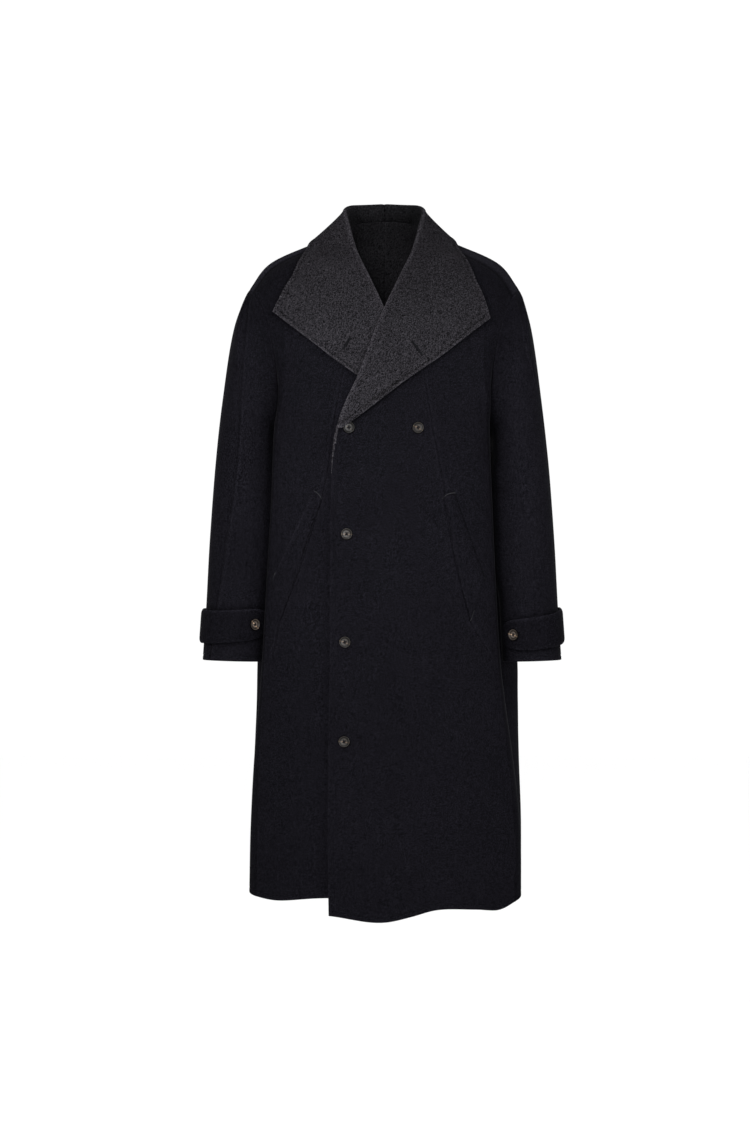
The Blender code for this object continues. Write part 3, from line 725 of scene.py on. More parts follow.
def back_grid(side, down, across):
    """The back from the side seam or armhole to the centre, with its shoulder seam taken from the front."""
    levels = []
    for row in BODY:
        flare = on_side(row, "flare", side)
        inner = [(flare * share, row.back_y - bow, row.z) for share, bow in zip(BACK_COLUMNS, BACK_BOW)]
        outer = [(row.side_x, row.side_y, row.z), (flare, row.flare_y, row.z)]
        levels.append((*outer, *inner, (0, row.back_y, row.z)))
    near_seam = np.clip(1 - across, 0, 1)
    grid = panel_grid(f"back_{SIDE_NAMES[side]}", levels, YOKE, down, across, 0, near_seam)
    seam = along_rows(spline(levels + [tuple(row) for row in YOKE], [TOP]), across[-1:])[0]
    seam += (np.array(YOKE[-1].armhole) - seam[0]) * near_seam[-1, :, None]
    shift = np.where((across[-1] <= NECK)[:, None], spline(CHEST[-1][::-1], across[-1]) - seam, 0)
    return grid + smooth(TOP - 1, TOP, down)[:, None, None] * shift


def ring_frame(ring):
    """The middle of a sleeve's ring, and the way from there to its outer point."""
    middle = np.array((ring.outer_x + ring.inner_x, 2 * ring.centre_y, ring.outer_z + ring.inner_z)) / 2
    return middle, np.array((ring.outer_x - ring.inner_x, 0, ring.outer_z - ring.inner_z)) / 2


def oval(middle, reach, depth, angle):
    """Points round an oval, at angles from its outer point towards the front."""
    return middle + np.outer(np.cos(angle), reach) + np.outer(np.sin(angle), (0, -depth, 0))


def sleeve_grid(side, half, armhole, down):
    """One half of a sleeve, whose first row is the armhole's points from the shoulder to the underarm."""
    middle, reach = ring_frame(SLEEVE[0])
    along = (armhole - middle) @ reach / (reach @ reach)
    own_angle = np.arccos(np.clip(along, -1, 1))
    own_angle[0] = 0
    own_angle[-1] = np.pi
    own_shape = armhole - oval(middle, reach, SLEEVE[0].half_depth * half, own_angle)
    share = run_lengths(armhole, 0)
    share /= share[-1]
    rows = []
    for place in down:
        ring = Ring(*spline(SLEEVE, [place])[0])
        seam = np.radians(on_side(ring, "seam", side)) * half
        blend = smooth(0, CUFF, place)
        angle = seam + (np.pi - seam) * ((1 - blend) * own_angle / np.pi + blend * share)
        row = oval(*ring_frame(ring), ring.half_depth * half, angle)
        row += (1 - smooth(0, ARMHOLE_FADE, place)) * own_shape
        row[:, 0] += ring.sway * side * (1 + np.cos(angle)) / 2
        rows.append(row)
    return np.array(rows)[:, ::half]


def sleeve_point(side, angle, z):
    """A point on the sleeve near the cuff, with the way out from it, at an angle and a level."""
    level = (column(SLEEVE, "outer_z") + column(SLEEVE, "inner_z")) / 2
    ring = Ring(*spline(SLEEVE, [np.interp(-z, -level, np.arange(len(level)))])[0])
    half_width = (ring.outer_x - ring.inner_x) / 2
    turn = np.radians(angle)
    out = np.array((np.cos(turn) / half_width, -np.sin(turn) / ring.half_depth, 0))
    x = ring.inner_x + half_width * (1 + np.cos(turn)) + ring.sway * side * (1 + np.cos(turn)) / 2
    return np.array((x, ring.centre_y - ring.half_depth * np.sin(turn), z)), unit(out)


def rounding(distance):
    """How far a cut edge's rounding draws the surface in, at a distance from the edge."""
    inside = np.clip(EDGE_RADIUS - distance, 0, EDGE_RADIUS)
    return EDGE_RADIUS - np.sqrt(EDGE_RADIUS**2 - inside**2)


def seam_valley(distance):
    """How far a seam draws the surface in, at a distance from the seam."""
    return fading(distance, SEAM_CREASE) + bell(distance, SEAM_DIP)


def line_tone(distance, shade=SEAM_SHADE):
    """The tone about a sewn line: painted shade in the line, a painted highlight on the lip beside it."""
    return 1 + bell(distance, shade) + bell(distance, SEAM_LIP_HIGHLIGHT)


def edge_tone(distance, highlight=EDGE_HIGHLIGHT):
    """The tone at a free edge, which has a painted highlight."""
    return 1 + fading(distance, highlight)


def fold_lift(across, along, folds):
    """How far soft folds lift each point. A fold has a rounded section and fades to its ends."""
    lift = np.zeros_like(across)
    for fold in folds:
        way = np.array(fold.end, float) - fold.start
        length = np.hypot(*way)
        way /= length
        share = ((across - fold.start[0]) * way[0] + (along - fold.start[1]) * way[1]) / length
        aside = (across - fold.start[0]) * way[1] - (along - fold.start[1]) * way[0]
        aside -= fold.bow * 4 * share * (1 - share)
        taper = smooth(0, fold.fade_in, share) * (1 - smooth(1 - fold.fade_out, 1, share))
        lift += bell(aside, Mark(fold.rise, fold.width)) * taper
    return lift


def dart_place(side, down):
    """Where the dart seam lies across the front at each level."""
    x = np.interp(down, column(DART, "down"), column(DART, f"x_{SIDE_NAMES[side]}"))
    search = np.linspace(0, RIDGE, SEARCH_CUTS)
    rows = front_grid(side, down, repeated(search, len(down)))
    return np.array([np.interp(goal, row[:, 0], search) for goal, row in zip(x, rows)])


def level_places():
    """Places of the body's rows from the hem to the shoulder, with the row of the armhole's lowest point."""
    levels = column(BODY, "z")
    height = levels[-1] - levels[0]
    below = levels[0] + height * cut_finely(height, EDGE_CUTS, ())
    below = np.interp(below, levels, np.arange(len(levels)))
    above = LOWEST + (TOP - LOWEST) * cut_finely(CHEST_LENGTH, SEAM_CUTS, SHOULDER_CUTS)
    return np.concatenate((below, above[1:])), len(below) - 1


def share_normals(first, second):
    """Two rows of normals become their average."""
    mean = unit(first + second)
    first[:] = mean
    second[:] = mean


def past_seams(grid, normals):
    """The grid with each edge moved a little past its seam, square to the seam's normal."""
    moved = grid.copy()
    every = slice(None)
    rows_in = [((0, every), (1, every)), ((-1, every), (-2, every))]
    columns_in = [((every, 0), (every, 1)), ((every, -1), (every, -2))]
    for edge, inner in rows_in + columns_in:
        inwards = unit(np.cross(normals[edge], np.gradient(grid[edge], axis=0)))
        inwards *= np.sign(np.sum(inwards * (grid[inner] - grid[edge]), axis=-1, keepdims=True))
        moved[edge] -= inwards * SEAM_OVERLAP
    return moved


def roll_frames(side, station):
    """The neck edge at each station: its point, the way up the stand, the way out and the wall's normal."""
    front = station <= SHOULDER_STATION
    edge = front_grid(side, LOWEST + station[front], repeated(NECK_STRIP, front.sum()))
    base = edge[:, 0]
    normal = normals_of(edge)[:, 0]
    if not front.all():
        across = NECK + station[~front] - SHOULDER_STATION
        neck = back_grid(side, TOP - NECK_STRIP[::-1], repeated(across, len(NECK_STRIP)))
        base = np.concatenate((base, neck[-1]))
        normal = np.concatenate((normal, normals_of(neck)[-1]))
    along = np.gradient(base, axis=0)
    if station[-1] == BACK_STATION:
        along[-1, 1:] = 0
        normal[-1, 0] = 0
    up = unit(spline([row.stand for row in COLLAR], station))
    out = unit(np.cross(along, up))
    return base, up, out, unit(unit(normal) + out)


def panel_normals(side, grids, down, lowest, nape):
    """The normals of one side's panels, which are the same on both sides of each seam."""
    normals = {name: normals_of(grid) for name, grid in grids.items()}
    front, back, fore, rear = normals.values()
    share_normals(front[: lowest + 1, -1], back[: lowest + 1, 0])
    share_normals(fore[:, 0], rear[:, -1])
    share_normals(fore[:, -1], rear[:, 0])
    share_normals(front[lowest:, -1], fore[0, ::-1])
    share_normals(back[lowest:, 0], rear[0])
    back[:, -1, 0] = 0
    back[:, -1] = unit(back[:, -1])
    front[lowest:, 0] = roll_frames(side, down[lowest:] - LOWEST)[-1]
    station = np.append(SHOULDER_STATION - BEFORE_NAPE, nape)
    back[-1, -len(nape) :] = roll_frames(side, station)[-1][1:]
    return normals


def body_panels(side):
    """The grids and normals of one side's front, back and sleeve, with the places of the rows, the row of
    the armhole's lowest point and the column of the dart."""
    down, lowest = level_places()
    dart = dart_place(side, down)[:, None]
    before = cut_finely(FRONT_WIDTHS[0], EDGE_CUTS, DART_CUTS)
    after = cut_finely(FRONT_WIDTHS[1], DART_CUTS, SEAM_CUTS)
    across = np.concatenate((before * dart, dart + after[1:] * (SIDE_SEAM - dart)), axis=1)
    front = front_grid(side, down, across)
    outside = NECK * cut_finely(BACK_WIDTHS[0], SEAM_CUTS, SEAM_CUTS)
    inside = NECK + (CENTRE - NECK) * cut_finely(BACK_WIDTHS[1], SEAM_CUTS, SEAM_CUTS)
    back = back_grid(side, down, repeated(np.append(outside, inside[1:]), len(down)))
    rings = CUFF * cut_finely(SLEEVE_LENGTH, SEAM_CUTS, EDGE_CUTS)
    grids = {
        "front": front,
        "back": back,
        "sleeve_front": sleeve_grid(side, 1, front[lowest:, -1][::-1], rings),
        "sleeve_back": sleeve_grid(side, -1, back[lowest:, 0][::-1], rings),
    }
    nape = SHOULDER_STATION + inside - NECK
    return grids, panel_normals(side, grids, down, lowest, nape), down, lowest, len(before) - 1


def panel_faces(grid, normal, lift, valley, free):
    """The outer face of a panel, with its seams and a rounded, stitched free edge, and its inner face."""
    flat = past_seams(grid, normal)
    drop = np.minimum(valley + rounding(free), DEEPEST) + bell(free, STITCH_DIP)
    wall = np.maximum(CLOTH - rounding(free), drop + THINNEST)
    return flat + normal * (lift - drop)[..., None], flat + normal * (lift - wall)[..., None]


def ridge_of(side, down):
    """The points of a front's ridge at each level."""
    return front_grid(side, down, repeated([RIDGE], len(down)))[:, 0]


def ridge_light_and_shade(side, grid, down, across):
    """The tone of a front about its ridge: a painted highlight on it, with painted shade on the cloth behind
    it.
    """
    at_ridge = np.linalg.norm(grid - ridge_of(side, down)[:, None], axis=-1).argmin(axis=1)
    behind = across - np.take_along_axis(across, at_ridge[:, None], axis=1)
    below = smooth(*RIDGE_LEVELS, grid[..., 2])
    shade = smooth(0, RIDGE_HIGHLIGHT.width, behind) * fading(np.maximum(behind, 0), RIDGE_SHADE)
    return (1 + below * bell(behind, RIDGE_HIGHLIGHT)) * (1 + below * shade)


def shoulder_light_and_shade(side, from_shoulder):
    """The tone of a front about its shoulder: a painted highlight on a strip, and painted shade at the
    stitched line and below it.
    """
    strip = SHOULDER_LINE[side]
    tone = 1 + bell(from_shoulder / strip, SHOULDER_HIGHLIGHT[side])
    tone *= 1 + bell(from_shoulder - strip, SHOULDER_SHADE)
    dusk = smooth(SHOULDER_DUSK_START * strip, strip, from_shoulder)
    return tone * (1 - SHOULDER_DUSK * dusk * (1 - smooth(*SHOULDER_DUSK_REACH, from_shoulder)))


def turned_edge(side, grid, across):
    """Which points of a front lie on the turned part of its edge."""
    low, high = TURNED_LEVELS
    level = grid[:, :1, 2]
    taper = np.clip((level - low) / (high - low), 0, 1)
    return (side == LEFT) & (across < TURNED_WIDTH * taper) & (level < high)


def add_front(side, grid, normal, down, lowest, dart, lapel):
    """The front with its edge and hem stitching, dart seam and folds, and a painted shadow along the lapel's
    edge.
    """
    name = f"front_{SIDE_NAMES[side]}"
    across, from_side, along, from_shoulder = edge_distances(grid)
    from_dart = np.abs(across - across[:, dart : dart + 1])
    seen = smooth(*DART_SEEN, down)[:, None]
    open_edge = (np.arange(len(grid)) <= lowest)[:, None]
    free = np.minimum(np.where(open_edge, across, FAR), along)
    lift = fold_lift(grid[..., 0], grid[..., 2], FOLDS[name])
    valley = seam_valley(from_side) + seam_valley(from_shoulder)
    valley += bell(from_shoulder - SHOULDER_LINE[side], SHOULDER_DIP) + seen * bell(from_dart, DART_DIP)
    outer, inner = panel_faces(grid, normal, lift, valley, free)
    tone = edge_tone(free) * np.where(open_edge, line_tone(from_side), line_tone(from_side, ARMHOLE_SHADE))
    tone *= shoulder_light_and_shade(side, from_shoulder) * ridge_light_and_shade(side, grid, down, across)
    tone *= 1 + seen * (line_tone(from_dart, DART_SHADE) - 1)
    tone *= 1 + bell(nearest_distance(grid[..., ::2], lapel[:, ::2]), LAPEL_SHADE)
    turned = turned_edge(side, grid, across)
    tone[turned] += TURNED_PALENESS
    edge = stitch_line(outer[:lowest], normal[:lowest], across[:lowest])
    hem = stitch_line(outer, normal, along, by_column=True)
    add_stitches(name, side, (edge, hem), "thread_black")
    materials = ("wool_black", "wool_grey_painted_shade", "wool_grey")
    return add_shell(name, side, outer, inner, materials, tone, turned=turned), outer


def add_back(side, grid, normal):
    """The back with its hem stitching and folds."""
    name = f"back_{SIDE_NAMES[side]}"
    across, from_centre, along, from_top = edge_distances(grid)
    lift = fold_lift(grid[..., 0], grid[..., 2], FOLDS["back"])
    valley = seam_valley(across) + seam_valley(from_centre) + seam_valley(from_top)
    outer, inner = panel_faces(grid, normal, lift, valley, along)
    centre = line_tone(from_centre)
    tone = edge_tone(along) * line_tone(across) * centre * line_tone(from_top)
    add_stitches(name, side, (stitch_line(outer, normal, along, by_column=True),), "thread_black")
    return add_shell(name, side, outer, inner, ("wool_black", "wool_grey_painted_shade"), tone, centre)


def add_sleeve(name, side, grid, normal, ridge_line, strap_edge):
    """Half of a sleeve with its cuff stitching and folds, with painted shade beside the front's ridge and a
    painted shadow along the strap.
    """
    across, from_last, along, from_cuff = edge_distances(grid)
    level = grid[..., 2]
    fore = name == "sleeve_front"
    from_inner = from_last if fore else across
    ahead = np.interp(-level, column(OVERARM, "depth"), column(OVERARM, f"ahead_{SIDE_NAMES[side]}"))
    from_ridge = (across if fore else -from_last) - ahead
    full = smooth(*INNER_FULL_TOP, -level) * (1 - smooth(*INNER_FULL_LOW, -level))
    lift = fold_lift(across, level, FOLDS[name])
    lift += full * bell(from_inner, INNER_FULL) + bell(from_ridge, OVERARM_RISE)
    valley = seam_valley(across) + seam_valley(from_last) + seam_valley(along)
    outer, inner = panel_faces(grid, normal, lift, valley, from_cuff)
    tone = SLEEVE_LIGHT[side] * edge_tone(from_cuff) * line_tone(along, ARMHOLE_SHADE) * line_tone(from_inner)
    tone *= 1 - HEAD_DUSK * (1 - smooth(*HEAD_DUSK_REACH, along))
    beside = grid[..., 0] - np.interp(-level, -ridge_line[::-1, 2], ridge_line[::-1, 0])
    tone *= 1 + smooth(*BESIDE_LEVELS, level) * bell(beside, BESIDE_SHADE)
    tone *= 1 + bell(nearest_distance(grid, strap_edge), STRAP_SHADE)
    tone *= (1 + bell(from_ridge, OVERARM_HIGHLIGHT)) * (1 + bell(from_ridge, OVERARM_SHADE))
    name = f"{name}_{SIDE_NAMES[side]}"
    add_stitches(name, side, (stitch_line(outer, normal, from_cuff, by_column=True),), "thread_black")
    return add_shell(name, side, outer, inner, ("wool_black", "wool_grey_painted_shade"), tone)


def pushed_out(point, tree, least):
    """The point, moved straight away from the nearest face until it is at least that far off."""
    place, normal, _, distance = tree.find_nearest(Vector(point))
    away = Vector(point) - place
    if away.dot(normal) < UNDERNEATH * distance or distance < NEARLY_TOUCHING:
        away = normal
    elif distance >= least:
        return np.array(point)
    return np.array(place + away.normalized() * least)


def quads(shape, start=0):
    """The faces of a grid, as point numbers, turning outwards."""
    rows, columns = shape
    number = start + np.arange(rows * columns).reshape(rows, columns)
    corners = (number[:-1, :-1], number[:-1, 1:], number[1:, 1:], number[1:, :-1])
    return np.stack(corners, axis=-1).reshape(-1, 4)


def tree_of(grids):
    """A search tree over the outer faces of left-hand grids."""
    points = []
    faces = []
    for grid in grids:
        faces.extend(quads(grid.shape[:2], len(points)).tolist())
        points.extend(Vector(point) for point in grid.reshape(-1, 3))
    return BVHTree.FromPolygons(points, faces)


def softened(line, passes):
    """A line of points or ways with its kinks eased, and its ends kept."""
    line = line.copy()
    for _ in range(passes):
        line[1:-1] = (line[:-2] + 2 * line[1:-1] + line[2:]) / 4
    return line


def collar_grid(side, clear_of):
    """The collar's grey face from the neck seam over the roll to its edge, its wall's normals at the seam
    and the station of each row."""
    lapel = cut_finely(LAPEL_LENGTHS[0], LAPEL_CUTS, (), LAPEL_STEP)
    upper = 1 + (SHOULDER_STATION - 1) * cut_finely(LAPEL_LENGTHS[1], (), (), LAPEL_STEP)
    nape = cut_finely(LAPEL_LENGTHS[2], (), SEAM_CUTS)
    nape = SHOULDER_STATION + (BACK_STATION - SHOULDER_STATION) * nape
    station = np.concatenate((lapel, upper[1:], nape[1:]))
    base, up, out, seam_normal = roll_frames(side, station)
    out = unit(softened(out, ROLL_EASING))
    stand = spline([row.stand for row in COLLAR], station)
    edges = spline([on_side(row, "edge", side) for row in COLLAR], station)
    table = [(on_side(row, "gap", side), row.gap_edge, row.bend, row.aside) for row in COLLAR]
    sizes = spline(table, station)
    lean = np.column_stack((sizes[:, -1], np.zeros((len(station), 2))))
    roll = softened(base + stand + lean, ROLL_EASING)
    shares = cut_finely(FALL_LENGTH, (), EDGE_CUTS)[1:]
    turns = np.linspace(0, np.pi, ROLL_TURNS)
    grid = []
    for i, (gap, gap_edge, bend, _) in enumerate(sizes):
        middle = roll[i] + out[i] * gap / 2
        radius = CLOTH + gap / 2
        line = [base[i] + up[i] * NECK_LIFT - seam_normal[i] * CLOTH]
        line += [middle + radius * (up[i] * np.sin(turn) - out[i] * np.cos(turn)) for turn in turns]
        start = line[-1]
        control = start - up[i] * bend
        for share in shares:
            fall = (1 - share) ** 2 * start + 2 * share * (1 - share) * control + share**2 * edges[i]
            line.append(pushed_out(fall, clear_of, CLOTH + gap + (gap_edge - gap) * share**3))
        grid.append(line)
    return np.array(grid), seam_normal, station


def lapel_light_and_shade(side, grid, over_roll):
    """The tone of a collar and lapel: painted shade by level and a painted highlight at the roll. The under
    lapel has a painted shadow beside the roll of the over lapel, whose points are given."""
    across = run_lengths(grid, 1)
    tone = 1 + bell(across - across[:, ROLL_TOP, None], ROLL_HIGHLIGHT)
    tone *= np.interp(grid[..., 2], *np.array(LAPEL_LIGHT_BY_LEVEL[side]).T)
    if over_roll is not None:
        seen = grid[..., ::2] * (-1, 1)
        tone *= 1 + bell(nearest_distance(seen, over_roll[:, ::2]), LAP_SHADE)
    return tone


def add_collar(side, clear_of, over_roll):
    """The turned collar and lapel, grey outside and black beneath. Returns it, its face and the line of its
    roll."""
    grid, seam, station = collar_grid(side, clear_of)
    normal = normals_of(grid)
    normal[:, 0] = -seam
    normal[-1, :, 0] = 0
    normal[-1] = unit(normal[-1])
    across, from_side, along, _ = edge_distances(grid)
    from_low = nearest_distance(grid, grid[0])
    from_edge = np.minimum(from_side, from_low)
    from_centre = nearest_distance(grid, grid[-1])
    beside = np.where(from_side < from_low, along[:, -1:], across)
    puckers = np.cos(2 * np.pi * beside / PUCKER_LENGTH)
    drop = np.minimum(rounding(from_edge) + seam_valley(from_centre), DEEPEST)
    drop += bell(from_edge, STITCH_DIP) * (1 + PUCKER_DEPTH * puckers) + puckers * fading(from_edge, PUCKER)
    wall = np.maximum(CLOTH - rounding(from_edge), drop + THINNEST)
    outer = grid - normal * drop[..., None]
    inner = grid - normal * wall[..., None]
    above = from_low[:, -1] > STITCH_INSET
    lapel = np.arange(ROLL_TURNS, grid.shape[1])
    lapel = lapel[from_side[0, lapel] > STITCH_INSET]
    edge = stitch_line(outer[above], normal[above], from_side[above])
    low = stitch_line(outer[:, lapel], normal[:, lapel], from_low[:, lapel], by_column=True)
    name = f"collar_{SIDE_NAMES[side]}"
    add_stitches(name, side, (edge, low), "thread_dark")
    inside_columns = INSIDE_LOW + (INSIDE_HIGH - INSIDE_LOW) * smooth(*INSIDE_STATIONS, station)
    inside = np.arange(grid.shape[1]) < inside_columns[:, None]
    tone = edge_tone(from_edge, COLLAR_EDGE_HIGHLIGHT) * line_tone(from_centre) * lapel_light_and_shade(side, grid, over_roll)
    tone *= (1 + bell(from_edge, STITCH_SHADE)) * (1 + puckers * bell(from_edge, PUCKER_SHADE))
    # inside the roll the collar shows the grey in painted shade, made a little lighter
    tone *= np.where(inside, INSIDE_TONE, 1)
    materials = ("wool_grey", "wool_black", "wool_grey_painted_shade")
    return add_shell(name, side, outer, inner, materials, tone, turned=inside), outer, outer[:, ROLL_TOP]


def strap_section(side, angle):
    """The strap's middle level, half its height and how far it stands off, at an angle round the sleeve."""
    at = np.interp(angle, column(STRAP, "angle"), np.arange(len(STRAP)))
    section = Strap(*spline(STRAP, [at])[0])
    top = on_side(section, "top", side)
    low = on_side(section, "low", side)
    return (top + low) / 2, (top - low) / 2, section.off


def add_strap(side):
    """The cuff strap round the sleeve, standing off it, with a rounded end. Returns it and its edge."""
    first = STRAP[0].angle
    last = STRAP[-1].angle
    rows = cut_finely(STRAP_SIZE[1], STRAP_CUTS, STRAP_CUTS, STRAP_STEP)
    grid = []
    for angle in first + (last - first) * cut_finely(STRAP_SIZE[0], STRAP_CUTS, STRAP_CUTS):
        middle, height, off = strap_section(side, angle)
        near_end = np.clip((angle - last + STRAP_ROUND) / STRAP_ROUND, 0, 1)
        height *= 1 - STRAP_TAPER * (1 - np.sqrt(1 - near_end**2))
        line = []
        for row in rows:
            point, out = sleeve_point(side, angle, middle + height * (1 - 2 * row))
            near_edge = np.clip(1 - 2 * height * min(row, 1 - row) / STRAP_TUCK, 0, 1)
            tuck = (off - STRAP_CLEAR) * (1 - np.sqrt(1 - near_edge**2))
            line.append(point + out * (off - tuck + CLOTH))
        grid.append(line)
    grid = np.array(grid).swapaxes(0, 1)
    _, from_end, from_top, from_low = edge_distances(grid)
    # painted highlights along the strap's top, end and low edges
    tone = 1 + bell(np.minimum(from_top, from_end), STRAP_EDGE_HIGHLIGHT) + bell(from_low, STRAP_LOW_HIGHLIGHT)
    edge = np.concatenate((grid[0], grid[:, -1], grid[-1]))
    name = f"cuff_strap_{SIDE_NAMES[side]}"
    return add_flap(name, side, grid, STRAP_TONE * tone, STRAP_SWELL), edge


def add_welt(side, front):
    """The pocket welt: the front's points between four corners, moved out."""
    top_inner, top_outer, low_outer, low_inner = (np.array(corner, float) for corner in WELTS[side])
    tree = tree_of([front])
    grid = []
    for along in cut_finely(WELT_SIZE[1], STRAP_CUTS, STRAP_CUTS):
        inner = low_inner + (top_inner - low_inner) * along
        inner[0] -= WELT_BOW * np.sin(np.pi * along)
        outer = low_outer + (top_outer - low_outer) * along
        line = []
        for across in cut_finely(WELT_SIZE[0], STRAP_CUTS, STRAP_CUTS, STRAP_STEP):
            point, out = seen_point(tree, *(inner + (outer - inner) * across))
            line.append(point + out * (WELT_OFF + WELT_CLOTH))
        grid.append(line)
    grid = np.array(grid)
    from_seam, from_open, _, _ = edge_distances(grid)
    # painted shade and highlight along the seam, and on the open edge painted shade on one welt, a highlight
    # on the other
    tone = line_tone(from_seam) * edge_tone(from_open, WELT_EDGE[side])
    return add_flap(f"pocket_welt_{SIDE_NAMES[side]}", side, grid, tone, 0.0, WELT_CLOTH)


def add_flap(name, side, grid, tone, swell, cloth=CLOTH):
    """A small loose piece of cloth with rounded edges, whose middle swells a little."""
    normal = normals_of(grid)
    rim = np.minimum.reduce(edge_distances(grid))
    valley = rounding(rim) * cloth / CLOTH
    lift = swell * smooth(0, SWELL_REACH, rim)
    outer = grid + normal * (lift - valley)[..., None]
    inner = grid - normal * (cloth - valley)[..., None]
    return add_shell(name, side, outer, inner, ("wool_black", "wool_black"), tone)


def seen_point(tree, x, z):
    """The point of the cloth seen from the front at x and z, with its normal."""
    place, normal, _, _ = tree.ray_cast(Vector((x, -FAR, z)), Vector((0, 1, 0)))
    return np.array(place), np.array(normal)


def add_mesh(name, points, faces, materials, face_materials):
    """A smooth mesh object from points in millimetres, riding on the coat."""
    mesh = bpy.data.meshes.new(name)
    mesh.from_pydata((np.asarray(points) * MM).tolist(), [], [list(face) for face in faces])
    for material in materials:
        mesh.materials.append(materials_made[material])
    mesh.polygons.foreach_set("material_index", np.asarray(face_materials, np.int32))
    mesh.polygons.foreach_set("use_smooth", np.ones(len(mesh.polygons), bool))
    mesh.update()
    obj = bpy.data.objects.new(name, mesh)
    bpy.context.scene.collection.objects.link(obj)
    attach(obj, "root")
    return obj


def keep_tone(obj, tone):
    """The tone of each point of a mesh, kept for its material."""
    kept = obj.data.attributes.new(TONE_NAME, "FLOAT", "POINT")
    kept.data.foreach_set("value", np.asarray(tone, np.float32).reshape(-1))


def add_shell(name, side, outer, inner, materials, tone, inner_tone=1.0, turned=False):
    """A closed shell between an outer and an inner grid, each with its own material and tone. Where the
    cloth is turned, the third of its materials shows outside."""
    shape = outer.shape[:2]
    count = shape[0] * shape[1]
    number = np.arange(count).reshape(shape)
    front = quads(shape)
    back = quads(shape, count)[:, ::-1]
    rim = np.concatenate((number[0, :-1], number[:-1, -1], number[-1, :0:-1], number[:0:-1, 0]))
    after = np.roll(rim, -1)
    edge = np.stack((after, rim, rim + count, after + count), axis=-1)
    faces = np.concatenate((front, back, edge))
    points = np.concatenate((outer.reshape(-1, 3), inner.reshape(-1, 3)))
    if side == RIGHT:
        points = points * MIRROR
        faces = faces[:, ::-1]
    outside = TURNED_FACE * np.broadcast_to(turned, shape)
    which = np.concatenate((outside[:-1, :-1].reshape(-1), np.ones(len(back), int), outside.reshape(-1)[rim]))
    obj = add_mesh(f"{name}_cloth", points, faces.tolist(), materials, which)
    keep_tone(obj, (tone, np.broadcast_to(inner_tone, shape)))
    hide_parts(name)
    return obj


def closed_rings(count, sides):
    """The faces of a closed body of rings of points, with a face over each end."""
    number = np.arange(count * sides).reshape(count, sides)
    after = np.roll(number, -1, axis=1)
    faces = np.stack((number[:-1], after[:-1], after[1:], number[1:]), axis=-1).reshape(-1, 4)
    return [*faces.tolist(), number[0][::-1].tolist(), number[-1].tolist()]


def tube(path, radius, sides=TUBE_SIDES):
    """Points and faces of a closed round tube along a path, drawn to a point at both ends."""
    path = np.asarray(path, float)
    along = unit(np.gradient(path, axis=0))
    aside = unit(np.cross(along, TUBE_HELPER))
    up = np.cross(aside, along)
    turns = np.linspace(0, 2 * np.pi, sides, endpoint=False)
    fullness = TUBE_FULL * np.sin(np.linspace(TUBE_TIP, np.pi - TUBE_TIP, len(path)))
    width = radius * np.sqrt(np.clip(fullness, TUBE_THIN, 1))
    ring = np.cos(turns)[None, :, None] * aside[:, None] + np.sin(turns)[None, :, None] * up[:, None]
    points = path[:, None] + ring * width[:, None, None]
    return points.reshape(-1, 3), closed_rings(len(path), sides)


def joined(parts):
    """Points and faces of several meshes as one."""
    points = []
    faces = []
    start = 0
    for part_points, part_faces in parts:
        points.append(part_points)
        faces += [[index + start for index in face] for face in part_faces]
        start += len(part_points)
    return np.concatenate(points), faces


def mirrored(parts, side):
    """Meshes worked out for the left side, put on their own side."""
    if side == LEFT:
        return parts
    return [(points * MIRROR, [face[::-1] for face in faces]) for points, faces in parts]


def button_body():
    """The button's body, with its rim, dish and holes."""
    radii, heights = np.array(BUTTON_PROFILE).T
    turns = np.linspace(0, 2 * np.pi, BUTTON_SIDES, endpoint=False)
    ring_x = np.outer(radii, np.cos(turns))
    ring_y = np.outer(radii, np.sin(turns))
    ring_z = np.repeat(heights[:, None], BUTTON_SIDES, axis=1)
    for x, y in BUTTON_HOLES:
        reach = np.hypot(ring_x - x, ring_y - y)
        depth = HOLE_DEPTH * (1 - smooth(HOLE_FLOOR * HOLE_RADIUS, HOLE_RADIUS, reach))
        ring_z -= np.where(ring_z > DISH_FLOOR, depth, 0)
    points = np.stack((ring_x, ring_y, ring_z), axis=-1)
    return points.reshape(-1, 3), closed_rings(len(radii), BUTTON_SIDES)


def button_thread():
    """The thread that crosses between the button's holes."""
    holes = np.array(BUTTON_HOLES)
    share = np.linspace(0, 1, CROSS_CUTS)
    height = DISH_HEIGHT - CROSS_SINK + CROSS_ARCH * np.sqrt(np.sin(np.pi * share))
    strands = []
    for start, end in CROSS_HOLES:
        for shift in (-THREAD_RADIUS, THREAD_RADIUS):
            path = holes[start] + np.outer(share, holes[end] - holes[start])
            path += (shift, -shift * np.sign(holes[start].prod()))
            strands.append(tube(np.column_stack((path, height)), THREAD_RADIUS))
    return joined(strands)


